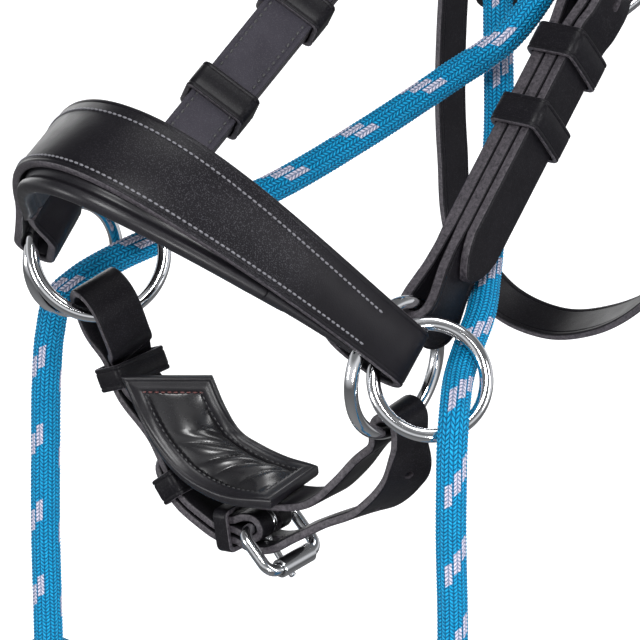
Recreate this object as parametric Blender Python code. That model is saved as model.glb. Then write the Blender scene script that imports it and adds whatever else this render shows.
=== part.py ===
"""Cross-under bitless bridle, hung from its crownpiece as a head would wear it.

Millimetres are used for every size below and MM turns them into Blender's metres.
The origin is the middle of the crownpiece's underside. +X is the horse's left (near) side,
-Y is forward, towards the nose, and +Z is up.

Two helpers place things. head(x, d, u) measures along the head: x sideways, d out from the
face towards the front, and u up the head towards the poll, all from the middle between the
two ends of the noseband. hung(x, y, z) measures from the same middle along the world's axes,
for what hangs under its own weight.
"""
import math

import bmesh
import bpy
from mathutils import Vector

MM = 0.001
GAP = 0.3                       # what touching pieces keep between them

# How the head hangs
HEAD_LEAN = 47.0                # the face's slope from upright, degrees
CROWN_UP = 325.0                # crownpiece above the noseband's ends, along the head
CROWN_BACK = 35.0               # and behind the line of the face

# Leather
STRAP_T = 4.0                   # thickness of a plain strap
CHEEK_T = 4.2                   # one layer of a cheekpiece, and its billet
NOSE_T = 3.5                    # noseband's outer leather
THROAT_T = 3.0                  # throatlatch
KEEPER_T = 2.2                  # keepers
CHEEK_W = 20.0                  # cheekpiece and billet width
CHIN_W = 18.0                   # chin strap width
THROAT_W = 16.0                 # throatlatch width
BROW_W = 18.0                   # browband width
KEEPER_L = 12.0                 # keeper length along its strap
FIT = 0.35                      # slack between a fold and what it holds
KEEPER_SLACK = 0.6              # slack between a keeper and its straps
RING_SLACK = 0.75               # slack of a cheekpiece's fold round its ring

# Noseband
NOSE_SPREAD = 172.0             # between its ends
NOSE_REACH = 106.0              # how far its arch stands out from the line of its ends
NOSE_END_W = 21.6
NOSE_MID_W = 35.0               # outer leather at the middle
PAD_BELOW = 7.0                 # lining showing below the leather at the middle
PAD_ABOVE = 1.6                 # and above it
LINING_T = 7.0
LINING_GAP = 0.8                # between the leather and its lining
LINING_REACH = 66.0             # half of what the lining spans across the face
NOSE_RISE = 4.5                 # the middle sits this much nearer the eyes
NOSE_KICK = 0.40                # lower edge stands out more than the upper one
NOSE_FLARE = 9.0                # the far end springs outward, with no cheek to hold it
NOSE_FLARE_REACH = 50.0
LOOP_SLOT = 10.1                # inside of the end loops, which hold two ring wires
LOOP_OVER = (7.5, 5.0)          # how far the near and far folds reach past the line of the ends

# Rings
WIRE_R = 2.5
REIN_RING_R = 20.0              # to the middle of the wire
CHIN_RING_R = 24.0

# Rope
ROPE_D = 11.0
HANK_RUN = 205.0                # straight part of the tied hank
HANK_HALF = 17.0                # half the spread of its turns at the ends
HANK_WAIST = 6.7                # half the spread where the tie draws it in
HANK_STEP = 12.4                # from one layer to the next
HANK_TURNS = 2
END_CAP_L = 22.0

# Buckles
BAR_R = 2.2
PRONG_R = 1.3
CHEEK_REACH = 133.5             # from ring wire to buckle bar on the near side
FAR_CHEEK_SHORT = 12.0          # how much shorter the far cheekpiece hangs
KEEPER_BELOW = 22.0             # from the buckle bar down to the fixed keeper
RUNNER_BELOW = (31.0, 48.0)     # and from there to the runner, near and far

BLACK = (0.016, 0.016, 0.018, 1.0)
LINING_BLACK = (0.022, 0.021, 0.022, 1.0)
STEEL = (0.78, 0.79, 0.80, 1.0)
ROPE_BLUE = (0.010, 0.235, 0.52, 1.0)
TIE_BLACK = (0.03, 0.03, 0.03, 1.0)

LEAN = math.radians(HEAD_LEAN)
FACE_OUT = Vector((0.0, -math.cos(LEAN), math.sin(LEAN)))
FACE_UP = Vector((0.0, math.sin(LEAN), math.cos(LEAN)))
SIDE = Vector((1.0, 0.0, 0.0))
MIDDLE = -CROWN_UP * FACE_UP + CROWN_BACK * FACE_OUT


def head(x, d, u):
    """A point from sizes measured along the head."""
    return MIDDLE + x * SIDE + d * FACE_OUT + u * FACE_UP


def head_dir(x, d, u):
    """A unit direction measured along the head."""
    return (x * SIDE + d * FACE_OUT + u * FACE_UP).normalized()


def hung(x, y, z):
    """A point measured from the noseband's middle along the world's axes."""
    return MIDDLE + Vector((x, y, z))


def start_empty():
    for item in list(bpy.data.objects):
        bpy.data.objects.remove(item, do_unlink=True)


def finish_of(name, colour, roughness, metallic):
    material = bpy.data.materials.new(name)
    material.use_nodes = True
    shader = material.node_tree.nodes["Principled BSDF"]
    shader.inputs["Base Color"].default_value = colour
    shader.inputs["Roughness"].default_value = roughness
    shader.inputs["Metallic"].default_value = metallic
    material.diffuse_color = colour
    return material


def make_object(name, bm, colour, roughness=0.5, metallic=0.0, origin=None, smooth=35.0):
    """Turn a bmesh in millimetres into a named object, with its origin where it turns."""
    bmesh.ops.recalc_face_normals(bm, faces=bm.faces)
    centre = origin or Vector((0.0, 0.0, 0.0))
    for vert in bm.verts:
        vert.co = (vert.co - centre) * MM
    mesh = bpy.data.meshes.new(name)
    bm.to_mesh(mesh)
    bm.free()
    mesh.shade_smooth()
    mesh.set_sharp_from_angle(angle=math.radians(smooth))
    mesh.materials.append(finish_of(name, colour, roughness, metallic))
    item = bpy.data.objects.new(name, mesh)
    item.location = centre * MM
    bpy.context.scene.collection.objects.link(item)
    return item


def curve_through(points, steps, guide=None):
    """Values along a smooth curve through the given ones, spaced by how far apart they lie.

    guide gives the places that set the spacing when the values aren't places themselves.
    """
    points = [Vector(p) for p in points]
    guide = [Vector(p) for p in guide] if guide else points
    apart = [max((q - p).length, 1e-6) for p, q in zip(guide[:-1], guide[1:])]
    last = len(points) - 1
    speeds = []
    for i in range(last + 1):
        before = (points[i] - points[i - 1]) / apart[i - 1] if i else None
        after = (points[i + 1] - points[i]) / apart[i] if i < last else None
        if before is None or after is None:
            speeds.append(after if before is None else before)
        else:
            speeds.append((before * apart[i] + after * apart[i - 1]) / (apart[i] + apart[i - 1]))
    out = []
    for i in range(last):
        start, end = speeds[i] * apart[i], speeds[i + 1] * apart[i]
        for k in range(steps):
            t = k / steps
            out.append((2 * t ** 3 - 3 * t * t + 1) * points[i] + (t ** 3 - 2 * t * t + t) * start
                       + (3 * t * t - 2 * t ** 3) * points[i + 1] + (t ** 3 - t * t) * end)
    out.append(points[-1])
    return out


def turned_along(points, sides, steps):
    """A smooth path through points, and the strap's width direction at each of its places."""
    path = curve_through(points, steps)
    across = [v.normalized() for v in curve_through(sides, steps, points)]
    return path, across


def widths_along(values, steps):
    """Widths that change evenly from each key to the next."""
    out = []
    for a, b in zip(values[:-1], values[1:]):
        out += [a + (b - a) * k / steps for k in range(steps)]
    return out + [values[-1]]


def directions_of(path, closed=False):
    count = len(path)
    out = []
    for i in range(count):
        before = path[(i - 1) % count] if closed or i else path[0]
        after = path[(i + 1) % count] if closed or i < count - 1 else path[-1]
        out.append((after - before).normalized())
    return out


def loft(rings, closed=False):
    """A solid through rings of points: capped at both ends, or joined into a loop."""
    bm = bmesh.new()
    loops = [[bm.verts.new(p) for p in ring] for ring in rings]
    pairs = list(zip(loops[:-1], loops[1:]))
    if closed:
        pairs.append((loops[-1], loops[0]))
    for low, high in pairs:
        for i in range(len(low)):
            j = (i + 1) % len(low)
            bm.faces.new((low[i], low[j], high[j], high[i]))
    if not closed:
        bm.faces.new(loops[0])
        bm.faces.new(loops[-1])
    return bm


def strap_section(width, thickness, corner):
    w, t, c = width / 2, thickness / 2, corner
    if c <= 0.0:
        return [(-w, -t), (w, -t), (w, t), (-w, t)]
    return [(-w, -t + c), (-w + c, -t), (w - c, -t), (w, -t + c),
            (w, t - c), (w - c, t), (-w + c, t), (-w, t - c)]


def straight(centre, way, reach):
    """Two places in a line, just beyond the ends of a keeper, for a strap to pass through."""
    return [centre - (reach + 1.0) * way, centre + (reach + 1.0) * way]


def value_at(value, i):
    return value[i] if isinstance(value, (list, tuple)) else value


def strap_mesh(path, across, width, thickness, corner=0.8, closed=False):
    """Sweep a flat strap's section along the middle of its thickness.

    across is the direction of its width: one direction, or one for each point.
    """
    rings = []
    along = directions_of(path, closed)
    for i, point in enumerate(path):
        side = Vector(value_at(across, i)) if isinstance(across, list) else Vector(across)
        side = (side - side.dot(along[i]) * along[i]).normalized()
        out = side.cross(along[i])
        section = strap_section(value_at(width, i), value_at(thickness, i), corner)
        rings.append([point + a * side + b * out for a, b in section])
    return loft(rings, closed)


def strap(name, path, across, width, thickness, colour=BLACK, corner=0.0, closed=False, origin=None):
    return make_object(name, strap_mesh(path, across, width, thickness, corner, closed),
                       colour, 0.42, 0.0, origin)


def tube_mesh(path, radius, sides, closed=False, start_side=None):
    """Sweep a round section along a path without twisting it."""
    along = directions_of(path, closed)
    side = Vector(start_side) if start_side else along[0].orthogonal()
    rings = []
    for i, point in enumerate(path):
        side = (side - side.dot(along[i]) * along[i]).normalized()
        out = along[i].cross(side)
        r = value_at(radius, i)
        rings.append([point + r * (math.cos(a) * side + math.sin(a) * out)
                      for a in (2 * math.pi * k / sides for k in range(sides))])
    return loft(rings, closed)


def cut(item, cutter_mesh, name):
    """Take a cutter's shape out of a piece."""
    cutter = make_object(name, cutter_mesh, BLACK)
    cutter.hide_render = True
    cutter.display_type = "WIRE"
    step = item.modifiers.new(name, "BOOLEAN")
    step.operation = "DIFFERENCE"
    step.object = cutter
    return cutter


def add(item, other_mesh, name):
    """Fuse another shape into a piece."""
    other = make_object(name, other_mesh, BLACK)
    other.hide_render = True
    other.display_type = "WIRE"
    step = item.modifiers.new(name, "BOOLEAN")
    step.operation = "UNION"
    step.object = other
    return other


def slot_mesh(centre, along, across, out, length, width, depth):
    """A round-ended slot's cutter: length along the strap, width across it."""
    half = max(length / 2 - width / 2, 0.0)
    outline = []
    for k in range(12):
        turn = 2 * math.pi * k / 12
        shift = half if math.cos(turn) > 0 else -half
        outline.append((shift + width / 2 * math.cos(turn), width / 2 * math.sin(turn)))
    rings = []
    for side in (-0.5, 0.5):
        rings.append([centre + a * along + b * across + side * depth * out for a, b in outline])
    return loft(rings)


def merge(meshes):
    """Put several closed shapes into one bmesh, each still a body of its own."""
    whole = bmesh.new()
    for part in meshes:
        copies = {}
        for vert in part.verts:
            copies[vert] = whole.verts.new(vert.co)
        for face in part.faces:
            whole.faces.new([copies[v] for v in face.verts])
        part.free()
    return whole


def rounded_loop(half_a, half_b, corner, steps=3):
    """A rounded rectangle as (a, b) pairs, going once round."""
    out = []
    for quarter in range(4):
        sa = (1, -1, -1, 1)[quarter]
        sb = (1, 1, -1, -1)[quarter]
        for k in range(steps + 1):
            turn = math.pi / 2 * (quarter + k / steps)
            out.append((sa * (half_a - corner) + corner * math.cos(turn),
                        sb * (half_b - corner) + corner * math.sin(turn)))
    return out


def keeper(name, centre, along, across, out, stack_w, low, high, length=KEEPER_L, thick=KEEPER_T,
           slack=KEEPER_SLACK):
    """A leather loop round a stack of straps that reaches from low to high along out."""
    half_w = stack_w / 2 + slack + thick / 2
    half_t = (high - low) / 2 + slack + thick / 2
    middle = centre + (high + low) / 2 * out
    loop = rounded_loop(half_w, half_t, thick / 2 + 0.9)
    path = [middle + a * across + b * out for a, b in loop]
    return strap(name, path, along, length, thick, closed=True, origin=middle)


def ring(name, centre, normal, radius):
    """A round wire ring that turns about its own axis."""
    first = normal.orthogonal().normalized()
    second = normal.cross(first)
    path = [centre + radius * (math.cos(a) * first + math.sin(a) * second)
            for a in (2 * math.pi * k / 36 for k in range(36))]
    return make_object(name, tube_mesh(path, WIRE_R, 8, True, normal), STEEL, 0.12, 1.0, centre, 60)


class Ring:
    """Where a ring hangs: its centre and axis, and the point of its wire at a direction."""

    def __init__(self, centre, normal, radius):
        self.centre = centre
        self.normal = normal
        self.radius = radius

    def wire(self, towards):
        flat = towards - towards.dot(self.normal) * self.normal
        return self.centre + self.radius * flat.normalized()


# Near rings: the chin ring lies along the side of the face, the rein ring is turned out
# towards the front by its rope. Far rings: the chin strap pulls the chin ring inward, and
# the rope holds the rein ring along the face.
TURNED_OUT = head_dir(0.597, 0.802, 0.0)
CHIN_NEAR = Ring(head(73.8, -12.4, -3.0), SIDE, CHIN_RING_R)
REIN_NEAR = Ring(head(91.2, -10.5, -3.4), TURNED_OUT, REIN_RING_R)
CHIN_FAR = Ring(head(-60.0, -2.2, -2.0), TURNED_OUT, CHIN_RING_R)
REIN_FAR = Ring(head(-80.7, -16.8, -3.0), head_dir(0.965, 0.25, 0.0), REIN_RING_R)


def build_rings():
    ring("chin_ring_near", CHIN_NEAR.centre, CHIN_NEAR.normal, CHIN_RING_R)
    ring("rein_ring_near", REIN_NEAR.centre, REIN_NEAR.normal, REIN_RING_R)
    ring("chin_ring_far", CHIN_FAR.centre, CHIN_FAR.normal, CHIN_RING_R)
    ring("rein_ring_far", REIN_FAR.centre, REIN_FAR.normal, REIN_RING_R)


# Noseband

def nose_spot(x, v, inward=0.0):
    """A point on the noseband's outer face: x across the face, v from -1 at its upper edge
    to +1 at the lower edge of its lining."""
    half = NOSE_SPREAD / 2
    fall = max(1.0 - (x / half) ** 2, 0.0)
    width = NOSE_END_W + (NOSE_MID_W + PAD_BELOW + PAD_ABOVE - NOSE_END_W) * fall ** 1.5
    d = fall * (NOSE_REACH + NOSE_KICK * v * width / 2)
    flare = 0.0
    if x < 0.0 and d < NOSE_FLARE_REACH:
        flare = -NOSE_FLARE * (1.0 - d / NOSE_FLARE_REACH) ** 1.5
    lean_in = 1.0 - 0.15 * v * width / NOSE_SPREAD * fall
    return Vector((x * lean_in + flare, d, NOSE_RISE * fall - v * width / 2))


def nose_frame(x):
    """Middle of the outer face, direction across the band (downward), inward direction."""
    step = 0.5
    top, low = nose_spot(x, -1.0), nose_spot(x, 1.0)
    middle = nose_spot(x, 0.0)
    ahead = nose_spot(min(x + step, NOSE_SPREAD / 2), 0.0)
    behind = nose_spot(max(x - step, -NOSE_SPREAD / 2), 0.0)
    down = (low - top).normalized()
    along = (ahead - behind).normalized()
    inward = down.cross(along).normalized()
    if inward.y > 0.0:
        inward = -inward
    return middle, down, inward, (low - top).length


def from_head(v):
    return head(v.x, v.y, v.z)


def dir_from_head(v):
    return head_dir(v.x, v.y, v.z)


def nose_share(x):
    return max(1.0 - (2 * x / NOSE_SPREAD) ** 2, 0.0) ** 1.5


def nose_at(sign, s, inward_by):
    """A point at a distance along the outer face from the band's end, and a depth behind it."""
    half = NOSE_SPREAD / 2
    x = sign * half
    gone = 0.0
    here = nose_spot(x, 0.0)
    while gone < s:
        x -= sign * 0.1
        ahead = nose_spot(x, 0.0)
        gone += (ahead - here).length
        here = ahead
    middle, down, inward, total = nose_frame(x - sign * 0.6)
    return here + inward_by * inward


def nose_end_loop(sign):
    """The band folded back round the ring wires, from the fold to its sewn end."""
    corner = nose_spot(sign * NOSE_SPREAD / 2, 0.0)
    up = nose_spot(sign * NOSE_SPREAD / 2 * 0.97, 0.0) - corner
    up = Vector((up.x, up.y, 0.0)).normalized()
    inward = Vector((-sign * abs(up.y), -abs(up.x), 0.0))
    mid = NOSE_T + LOOP_SLOT / 2
    radius = LOOP_SLOT / 2 + NOSE_T / 2
    s_arc = NOSE_T + LOOP_SLOT / 2 - (LOOP_OVER[0] if sign > 0 else LOOP_OVER[1])
    points = []
    for k in range(1, 8):
        turn = math.pi * k / 8
        points.append(corner + (s_arc - radius * math.sin(turn)) * up
                      + (mid - radius * math.cos(turn)) * inward)
    straight = 19.5 if sign > 0 else 23.0
    last = 1.5 * NOSE_T + 0.5
    tail = [nose_at(sign, straight, mid + radius - 0.3),
            nose_at(sign, straight + 8.0, 0.5 * (mid + radius + last)),
            nose_at(sign, straight + 15.0, last + 0.6), nose_at(sign, straight + 21.0, last)]
    tail = [corner + s_arc * up + (mid + radius) * inward,
            corner + 0.5 * (s_arc + straight) * up + (mid + radius) * inward] + tail
    return points + curve_through(tail, 3)


NOSE_STATIONS = [0.965 * NOSE_SPREAD / 2 * math.cos(math.pi * i / 44) for i in range(45)]


def nose_leather():
    """The leather's middle, width directions and widths from the near loop to the far one."""
    path, across, widths = [], [], []
    for x in NOSE_STATIONS:
        middle, down, inward, total = nose_frame(x)
        share = nose_share(x)
        shift = (PAD_ABOVE - PAD_BELOW) / 2 * share
        path.append(from_head(middle + shift * down + NOSE_T / 2 * inward))
        across.append(dir_from_head(down))
        widths.append(NOSE_END_W + (NOSE_MID_W - NOSE_END_W) * share)
    return path, across, widths


def build_noseband():
    near_loop = [from_head(p) for p in reversed(nose_end_loop(1))]
    far_loop = [from_head(p) for p in nose_end_loop(-1)]
    path, across, widths = nose_leather()
    down_end = dir_from_head(Vector((0.0, 0.0, -1.0)))
    across = [down_end] * len(near_loop) + across + [down_end] * len(far_loop)
    widths = [NOSE_END_W] * len(near_loop) + widths + [NOSE_END_W] * len(far_loop)
    strap("noseband", near_loop + path + far_loop, across, widths, NOSE_T, corner=0.9)


def lining_section(width, thick):
    """Half-round rolls along both edges, a flat back against the leather, a soft crown inside."""
    w, t = width / 2, thick / 2
    roll = 3.1
    return [(-w + 0.2, -t + 1.6), (-w + 1.4, -t + 0.2), (-w + roll, -t), (w - 2 * roll, -t),
            (w - 1.7 * roll, -t + 0.6), (w - roll, -t + 0.2), (w - 0.9, -t + 0.9), (w, 0.0),
            (w - 1.0, t - 1.4), (w - 1.7 * roll, t - 0.6), (w * 0.25, t), (-w * 0.25, t),
            (-w + 1.7 * roll, t - 0.6), (-w + 1.2, t - 1.2), (-w, 0.0)]


def build_noseband_lining():
    """The padded lining lies behind the leather and stops short of the end loops."""
    path, across, widths = nose_leather()
    along = directions_of(path)
    inside = [i for i, x in enumerate(NOSE_STATIONS) if abs(x) < LINING_REACH]
    rings = []
    for i in inside:
        share = nose_share(NOSE_STATIONS[i])
        side = (across[i] - across[i].dot(along[i]) * along[i]).normalized()
        inward = side.cross(along[i])
        inward = inward if inward.dot(FACE_OUT) < 0.0 or abs(NOSE_STATIONS[i]) > 60.0 else -inward
        end = min(i - inside[0], inside[-1] - i) / 2.0
        thick = LINING_T * min(1.0, 0.5 + 0.5 * end)
        width = NOSE_END_W + (NOSE_MID_W + PAD_BELOW + PAD_ABOVE - NOSE_END_W) * share ** 0.8
        shift = (PAD_ABOVE - PAD_BELOW) / 2 * share
        centre = path[i] - shift * side + (NOSE_T / 2 + LINING_GAP + thick / 2) * inward
        rings.append([centre + a * side + b * inward for a, b in lining_section(width, thick)])
    make_object("noseband_lining", loft(rings), LINING_BLACK, 0.5, 0.0)


# Cheekpieces and crownpiece

class Cheek:
    """A doubled cheekpiece from its ring wire to its buckle bar, as a straight line."""

    def __init__(self, side, ring_at, ring_dir, along, across, reach, runner_below):
        self.side = side
        self.reach = reach
        self.keeper_at = reach - KEEPER_BELOW
        self.runner_at = self.keeper_at - runner_below
        self.wire = ring_at.wire(ring_dir)
        self.along = along.normalized()
        self.across = (across - across.dot(self.along) * self.along).normalized()
        out = self.along.cross(self.across)
        if out.dot(SIDE) * side < 0.0:
            out = -out
        self.out = out

    def at(self, s, n=0.0, a=0.0):
        return self.wire + s * self.along + n * self.out + a * self.across


NEAR = Cheek(1, CHIN_NEAR, head_dir(0.0, -0.105, 0.995), head_dir(-0.105, -0.105, 1.0),
             head_dir(0.0, 1.0, 0.1), CHEEK_REACH, RUNNER_BELOW[0])
FAR = Cheek(-1, CHIN_FAR, head_dir(0.125, -0.093, 0.988), head_dir(0.025, -0.222, 0.974),
            head_dir(-0.798, 0.563, 0.149), CHEEK_REACH - FAR_CHEEK_SHORT, RUNNER_BELOW[1])

LAYER = 0.6 + CHEEK_T / 2                        # from the middle of the pair to a layer's middle
RING_SAG = CHIN_RING_R - math.sqrt(CHIN_RING_R ** 2 - (CHEEK_W / 2) ** 2)
RING_LEG = WIRE_R + RING_SLACK + CHEEK_T / 2     # layer's middle beside the ring wire
BAR_LEG = BAR_R + FIT + CHEEK_T / 2              # and round the buckle bar
BILLET_OUT = LAYER + CHEEK_T + 0.5               # billet's middle, lying on the outer layer
BILLET_OVER = BAR_LEG + CHEEK_T + FIT            # and where it crosses the buckle bar
BILLET_TIP = 19.0
FRAME_L = 24.0
FRAME_HALF_W = 14.5
FRAME_TILT = math.radians(30.0)


def half_turn(radius, centre, steps, top):
    """Points (s, n) of a fold: from the outer layer round to the inner one."""
    sign = 1.0 if top else -1.0
    return [(centre + sign * radius * math.sin(math.pi * k / steps), radius * math.cos(math.pi * k / steps))
            for k in range(steps + 1)]


def build_cheek(cheek, name):
    """One strap folded round the ring and round the buckle bar, its ends meeting inside."""
    low = half_turn(RING_LEG, -RING_SAG, 8, False)
    high = half_turn(BAR_LEG, cheek.reach, 8, True)
    inner_up = [(low[-1][0] + 4.0, -RING_LEG), (14.0, -LAYER - 0.5), (22.0, -LAYER), (60.0, -LAYER),
                           (cheek.keeper_at - 0.5, -LAYER)]
    inner_down = [(cheek.reach - 5.0, -BAR_LEG + 0.5), (cheek.reach - 14.0, -LAYER),
                  (cheek.keeper_at + 0.5, -LAYER)]
    outer = [(cheek.reach - 5.0, BAR_LEG - 0.5), (cheek.reach - 14.0, LAYER), (70.0, LAYER), (22.0, LAYER),
             (14.0, LAYER + 0.5), (4.0 - RING_SAG, RING_LEG)]
    points = list(reversed(inner_down)) + list(reversed(high)) + outer + low + inner_up
    path = [cheek.at(s, n) for s, n in points]
    item = strap(name, path, cheek.across, CHEEK_W, CHEEK_T, corner=0.8)
    opening = slot_mesh(cheek.at(cheek.reach + 1.5), cheek.along, cheek.across, cheek.out,
                        15.0, 2 * PRONG_R + 2.0, 2 * (BAR_LEG + CHEEK_T))
    cut(item, opening, name + "_slot")


def build_buckle(prefix, bar, along, across, out, half_w, length, tilt, roller_r=0.0):
    """A frame on its bar, a prong hinged on that bar, and a roller where there is one."""
    lean = (math.cos(tilt) * along + math.sin(tilt) * out).normalized()
    rise = (math.cos(tilt) * out - math.sin(tilt) * along).normalized()
    middle = bar + length / 2 * lean
    loop = rounded_loop(half_w, length / 2, 4.5)
    path = [middle + a * across + b * lean for a, b in loop]
    make_object(prefix + "_buckle", tube_mesh(path, BAR_R, 8, True, rise), STEEL, 0.15, 1.0, None, 60)
    front_r = roller_r or BAR_R
    wrap = BAR_R + 0.2 + PRONG_R
    points = []
    for k in range(10):
        turn = math.radians(-165.0 + 255.0 * k / 9)
        points.append(bar + wrap * (math.cos(turn) * lean * -1.0 + math.sin(turn) * rise))
    tip_h = front_r + FIT + PRONG_R
    points += [bar + 0.45 * length * lean + 0.5 * (wrap + tip_h) * rise,
               bar + 0.92 * length * lean + tip_h * rise,
               bar + (length + front_r + 0.6) * lean + (tip_h - 0.2) * rise]
    radii = [PRONG_R] * (len(points) - 1) + [0.8 * PRONG_R]
    make_object(prefix + "_prong", tube_mesh(points, radii, 8, False, across), STEEL, 0.15, 1.0, bar, 60)
    if roller_r:
        span = half_w - 5.2
        front = bar + length * lean
        shell = tube_mesh([front - span * across, front + span * across], roller_r, 12, False, rise)
        item = make_object(prefix + "_roller", shell, STEEL, 0.15, 1.0, front, 60)
        grown = tube_mesh([front - (span + 1.0) * across, front + (span + 1.0) * across],
                          BAR_R + 0.25, 12, False, rise)
        cut(item, grown, prefix + "_roller_bore")
    return lean, rise


def build_cheeks():
    for cheek, side in ((NEAR, "near"), (FAR, "far")):
        build_cheek(cheek, "cheek_strap_" + side)
        bar = cheek.at(cheek.reach)
        build_buckle("cheek_" + side, bar, cheek.along, cheek.across, cheek.out, FRAME_HALF_W, FRAME_L, FRAME_TILT)
        low = -LAYER - CHEEK_T / 2
        high = BILLET_OUT + CHEEK_T / 2
        keeper("cheek_keeper_" + side, cheek.at(cheek.keeper_at), cheek.along, cheek.across, cheek.out,
               CHEEK_W, low, high)
        keeper("cheek_runner_" + side, cheek.at(cheek.runner_at), cheek.along, cheek.across, cheek.out,
               CHEEK_W, low, high)


def billet_path(cheek):
    """The crownpiece's end, from its tip up over the cheekpiece and through the buckle."""
    keys = [(BILLET_TIP, BILLET_OUT), (BILLET_TIP + 4.0, BILLET_OUT), (BILLET_TIP + 9.0, BILLET_OUT),
            (60.0, BILLET_OUT), (cheek.keeper_at, BILLET_OUT), (cheek.keeper_at + 7.0, BILLET_OUT),
            (cheek.reach - 12.0, BILLET_OUT + 0.2), (cheek.reach - 7.0, BILLET_OVER - 0.4),
            (cheek.reach - 2.0, BILLET_OVER), (cheek.reach + 4.0, BILLET_OVER),
            (cheek.reach + 11.0, BILLET_OVER - 1.6), (cheek.reach + 19.0, BILLET_OUT - 1.2),
            (cheek.reach + 30.0, BILLET_OUT - 1.8)]
    return [cheek.at(s, n) for s, n in keys]


CROWN_HALF = 57.0               # half the spread of the crownpiece's sides
CROWN_SIDE_UP = 288.0
CROWN_SIDE_BACK = -37.0
CROWN_FLAT = 22.0               # half of the flat stretch over the poll
CROWN_MID_W = 34.0
CROWN_SIDE_W = 30.0


def build_crownpiece():
    near = billet_path(NEAR)
    far = billet_path(FAR)
    lift = Vector((0.0, 0.0, CHEEK_T / 2))
    flat = [Vector((x, 0.0, 0.0)) + lift for x in (CROWN_FLAT, CROWN_FLAT / 2, -CROWN_FLAT / 2, -CROWN_FLAT)]

    def side_points(sign):
        return [head(sign * 63.0, -34.5, 205.0), head(sign * 61.0, -35.5, 245.0),
                head(sign * CROWN_HALF, CROWN_SIDE_BACK, CROWN_SIDE_UP), head(sign * 43.0, -36.5, 315.0)]

    keys = near + side_points(1) + flat + list(reversed(side_points(-1))) + list(reversed(far))
    near_across = [NEAR.across] * len(near)
    far_across = [FAR.across] * len(far)
    d_way = head_dir(0.0, 1.0, 0.0)
    forward = Vector((0.0, -1.0, 0.0))
    between = d_way.lerp(forward, 0.6).normalized()
    near_side = [d_way, d_way, d_way.lerp(forward, 0.15).normalized(), between]
    far_side = [FAR.across.lerp(d_way, 0.65).normalized(), d_way, near_side[2], between]
    keys_across = (near_across + near_side + [forward] * 4 + list(reversed(far_side)) + far_across)
    tip = [0.4 * CHEEK_W, 0.8 * CHEEK_W, CHEEK_W]
    billet_w = tip + [CHEEK_W] * (len(near) - 3)
    side_w = [CHEEK_W, CHEEK_W + 1.0, CROWN_SIDE_W, CROWN_MID_W - 1.0]
    keys_w = billet_w + side_w + [CROWN_MID_W] * 4 + list(reversed(side_w)) + list(reversed(billet_w))
    steps = 3
    path, across = turned_along(keys, keys_across, steps)
    widths = widths_along(keys_w, steps)
    flat_from = (len(near) + 4) * steps
    for i in range(flat_from, flat_from + 3 * steps + 1):
        path[i].y = 0.0
        path[i].z = CHEEK_T / 2
        across[i] = forward
        widths[i] = CROWN_MID_W
    item = strap("crownpiece", path, across, widths, CHEEK_T)
    holes = []
    for cheek in (NEAR, FAR):
        holes.append(slot_mesh(cheek.at(cheek.reach + 7.5, BILLET_OVER - 1.0), cheek.along, cheek.across,
                               cheek.out, 15.0, 2 * PRONG_R + 1.6, 3.4 * CHEEK_T))
        for s in (cheek.keeper_at, cheek.runner_at):
            holes.append(slot_mesh(cheek.at(s, BILLET_OUT), cheek.along, cheek.across, cheek.out,
                                   3.6, 3.6, 2.2 * CHEEK_T))
    cut(item, merge(holes), "crownpiece_holes")


def build_browband():
    """A band across the brow, with a loop at each end round the crownpiece."""
    level = 236.0
    out_x = 63.0 + CHEEK_T / 2 + 1.2 + STRAP_T / 2
    in_x = 60.5 - CHEEK_T / 2 - 1.2 - STRAP_T / 2
    mid_d = -35.2
    back = mid_d - CHEEK_W / 2 - 3.5 - STRAP_T / 2
    front = mid_d + CHEEK_W / 2 + 2.0 + STRAP_T / 2
    bend = (out_x - in_x) / 2
    x_mid = (out_x + in_x) / 2

    def end_loop(sign):
        keys = [(in_x + 4.3, front + 12.0), (in_x + 3.4, front + 5.0), (in_x, mid_d + 5.0)]
        keys += [(x_mid - bend * math.cos(math.pi * k / 4), back + bend * (1 - math.sin(math.pi * k / 4)))
                 for k in range(5)]
        keys += [(out_x, mid_d + 3.0), (out_x - 0.6, front + 6.0), (out_x - 1.5, front + 18.0)]
        return [head(sign * x, d, level) for x, d in keys]

    arch = [head(sign * x, d, level + rise) for sign, x, d, rise in
            ((1, 56.0, 18.0, 3.0), (1, 38.0, 43.0, 6.0), (1, 0.0, 57.0, 8.0), (-1, 38.0, 43.0, 6.0),
             (-1, 56.0, 18.0, 3.0))]
    keys = end_loop(1) + arch + list(reversed(end_loop(-1)))
    path = curve_through(keys, 3)
    strap("browband", path, FACE_UP, BROW_W, STRAP_T)


# Throatlatch

THROAT_BUCKLE = hung(70.0, 214.0, 74.0)


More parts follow.
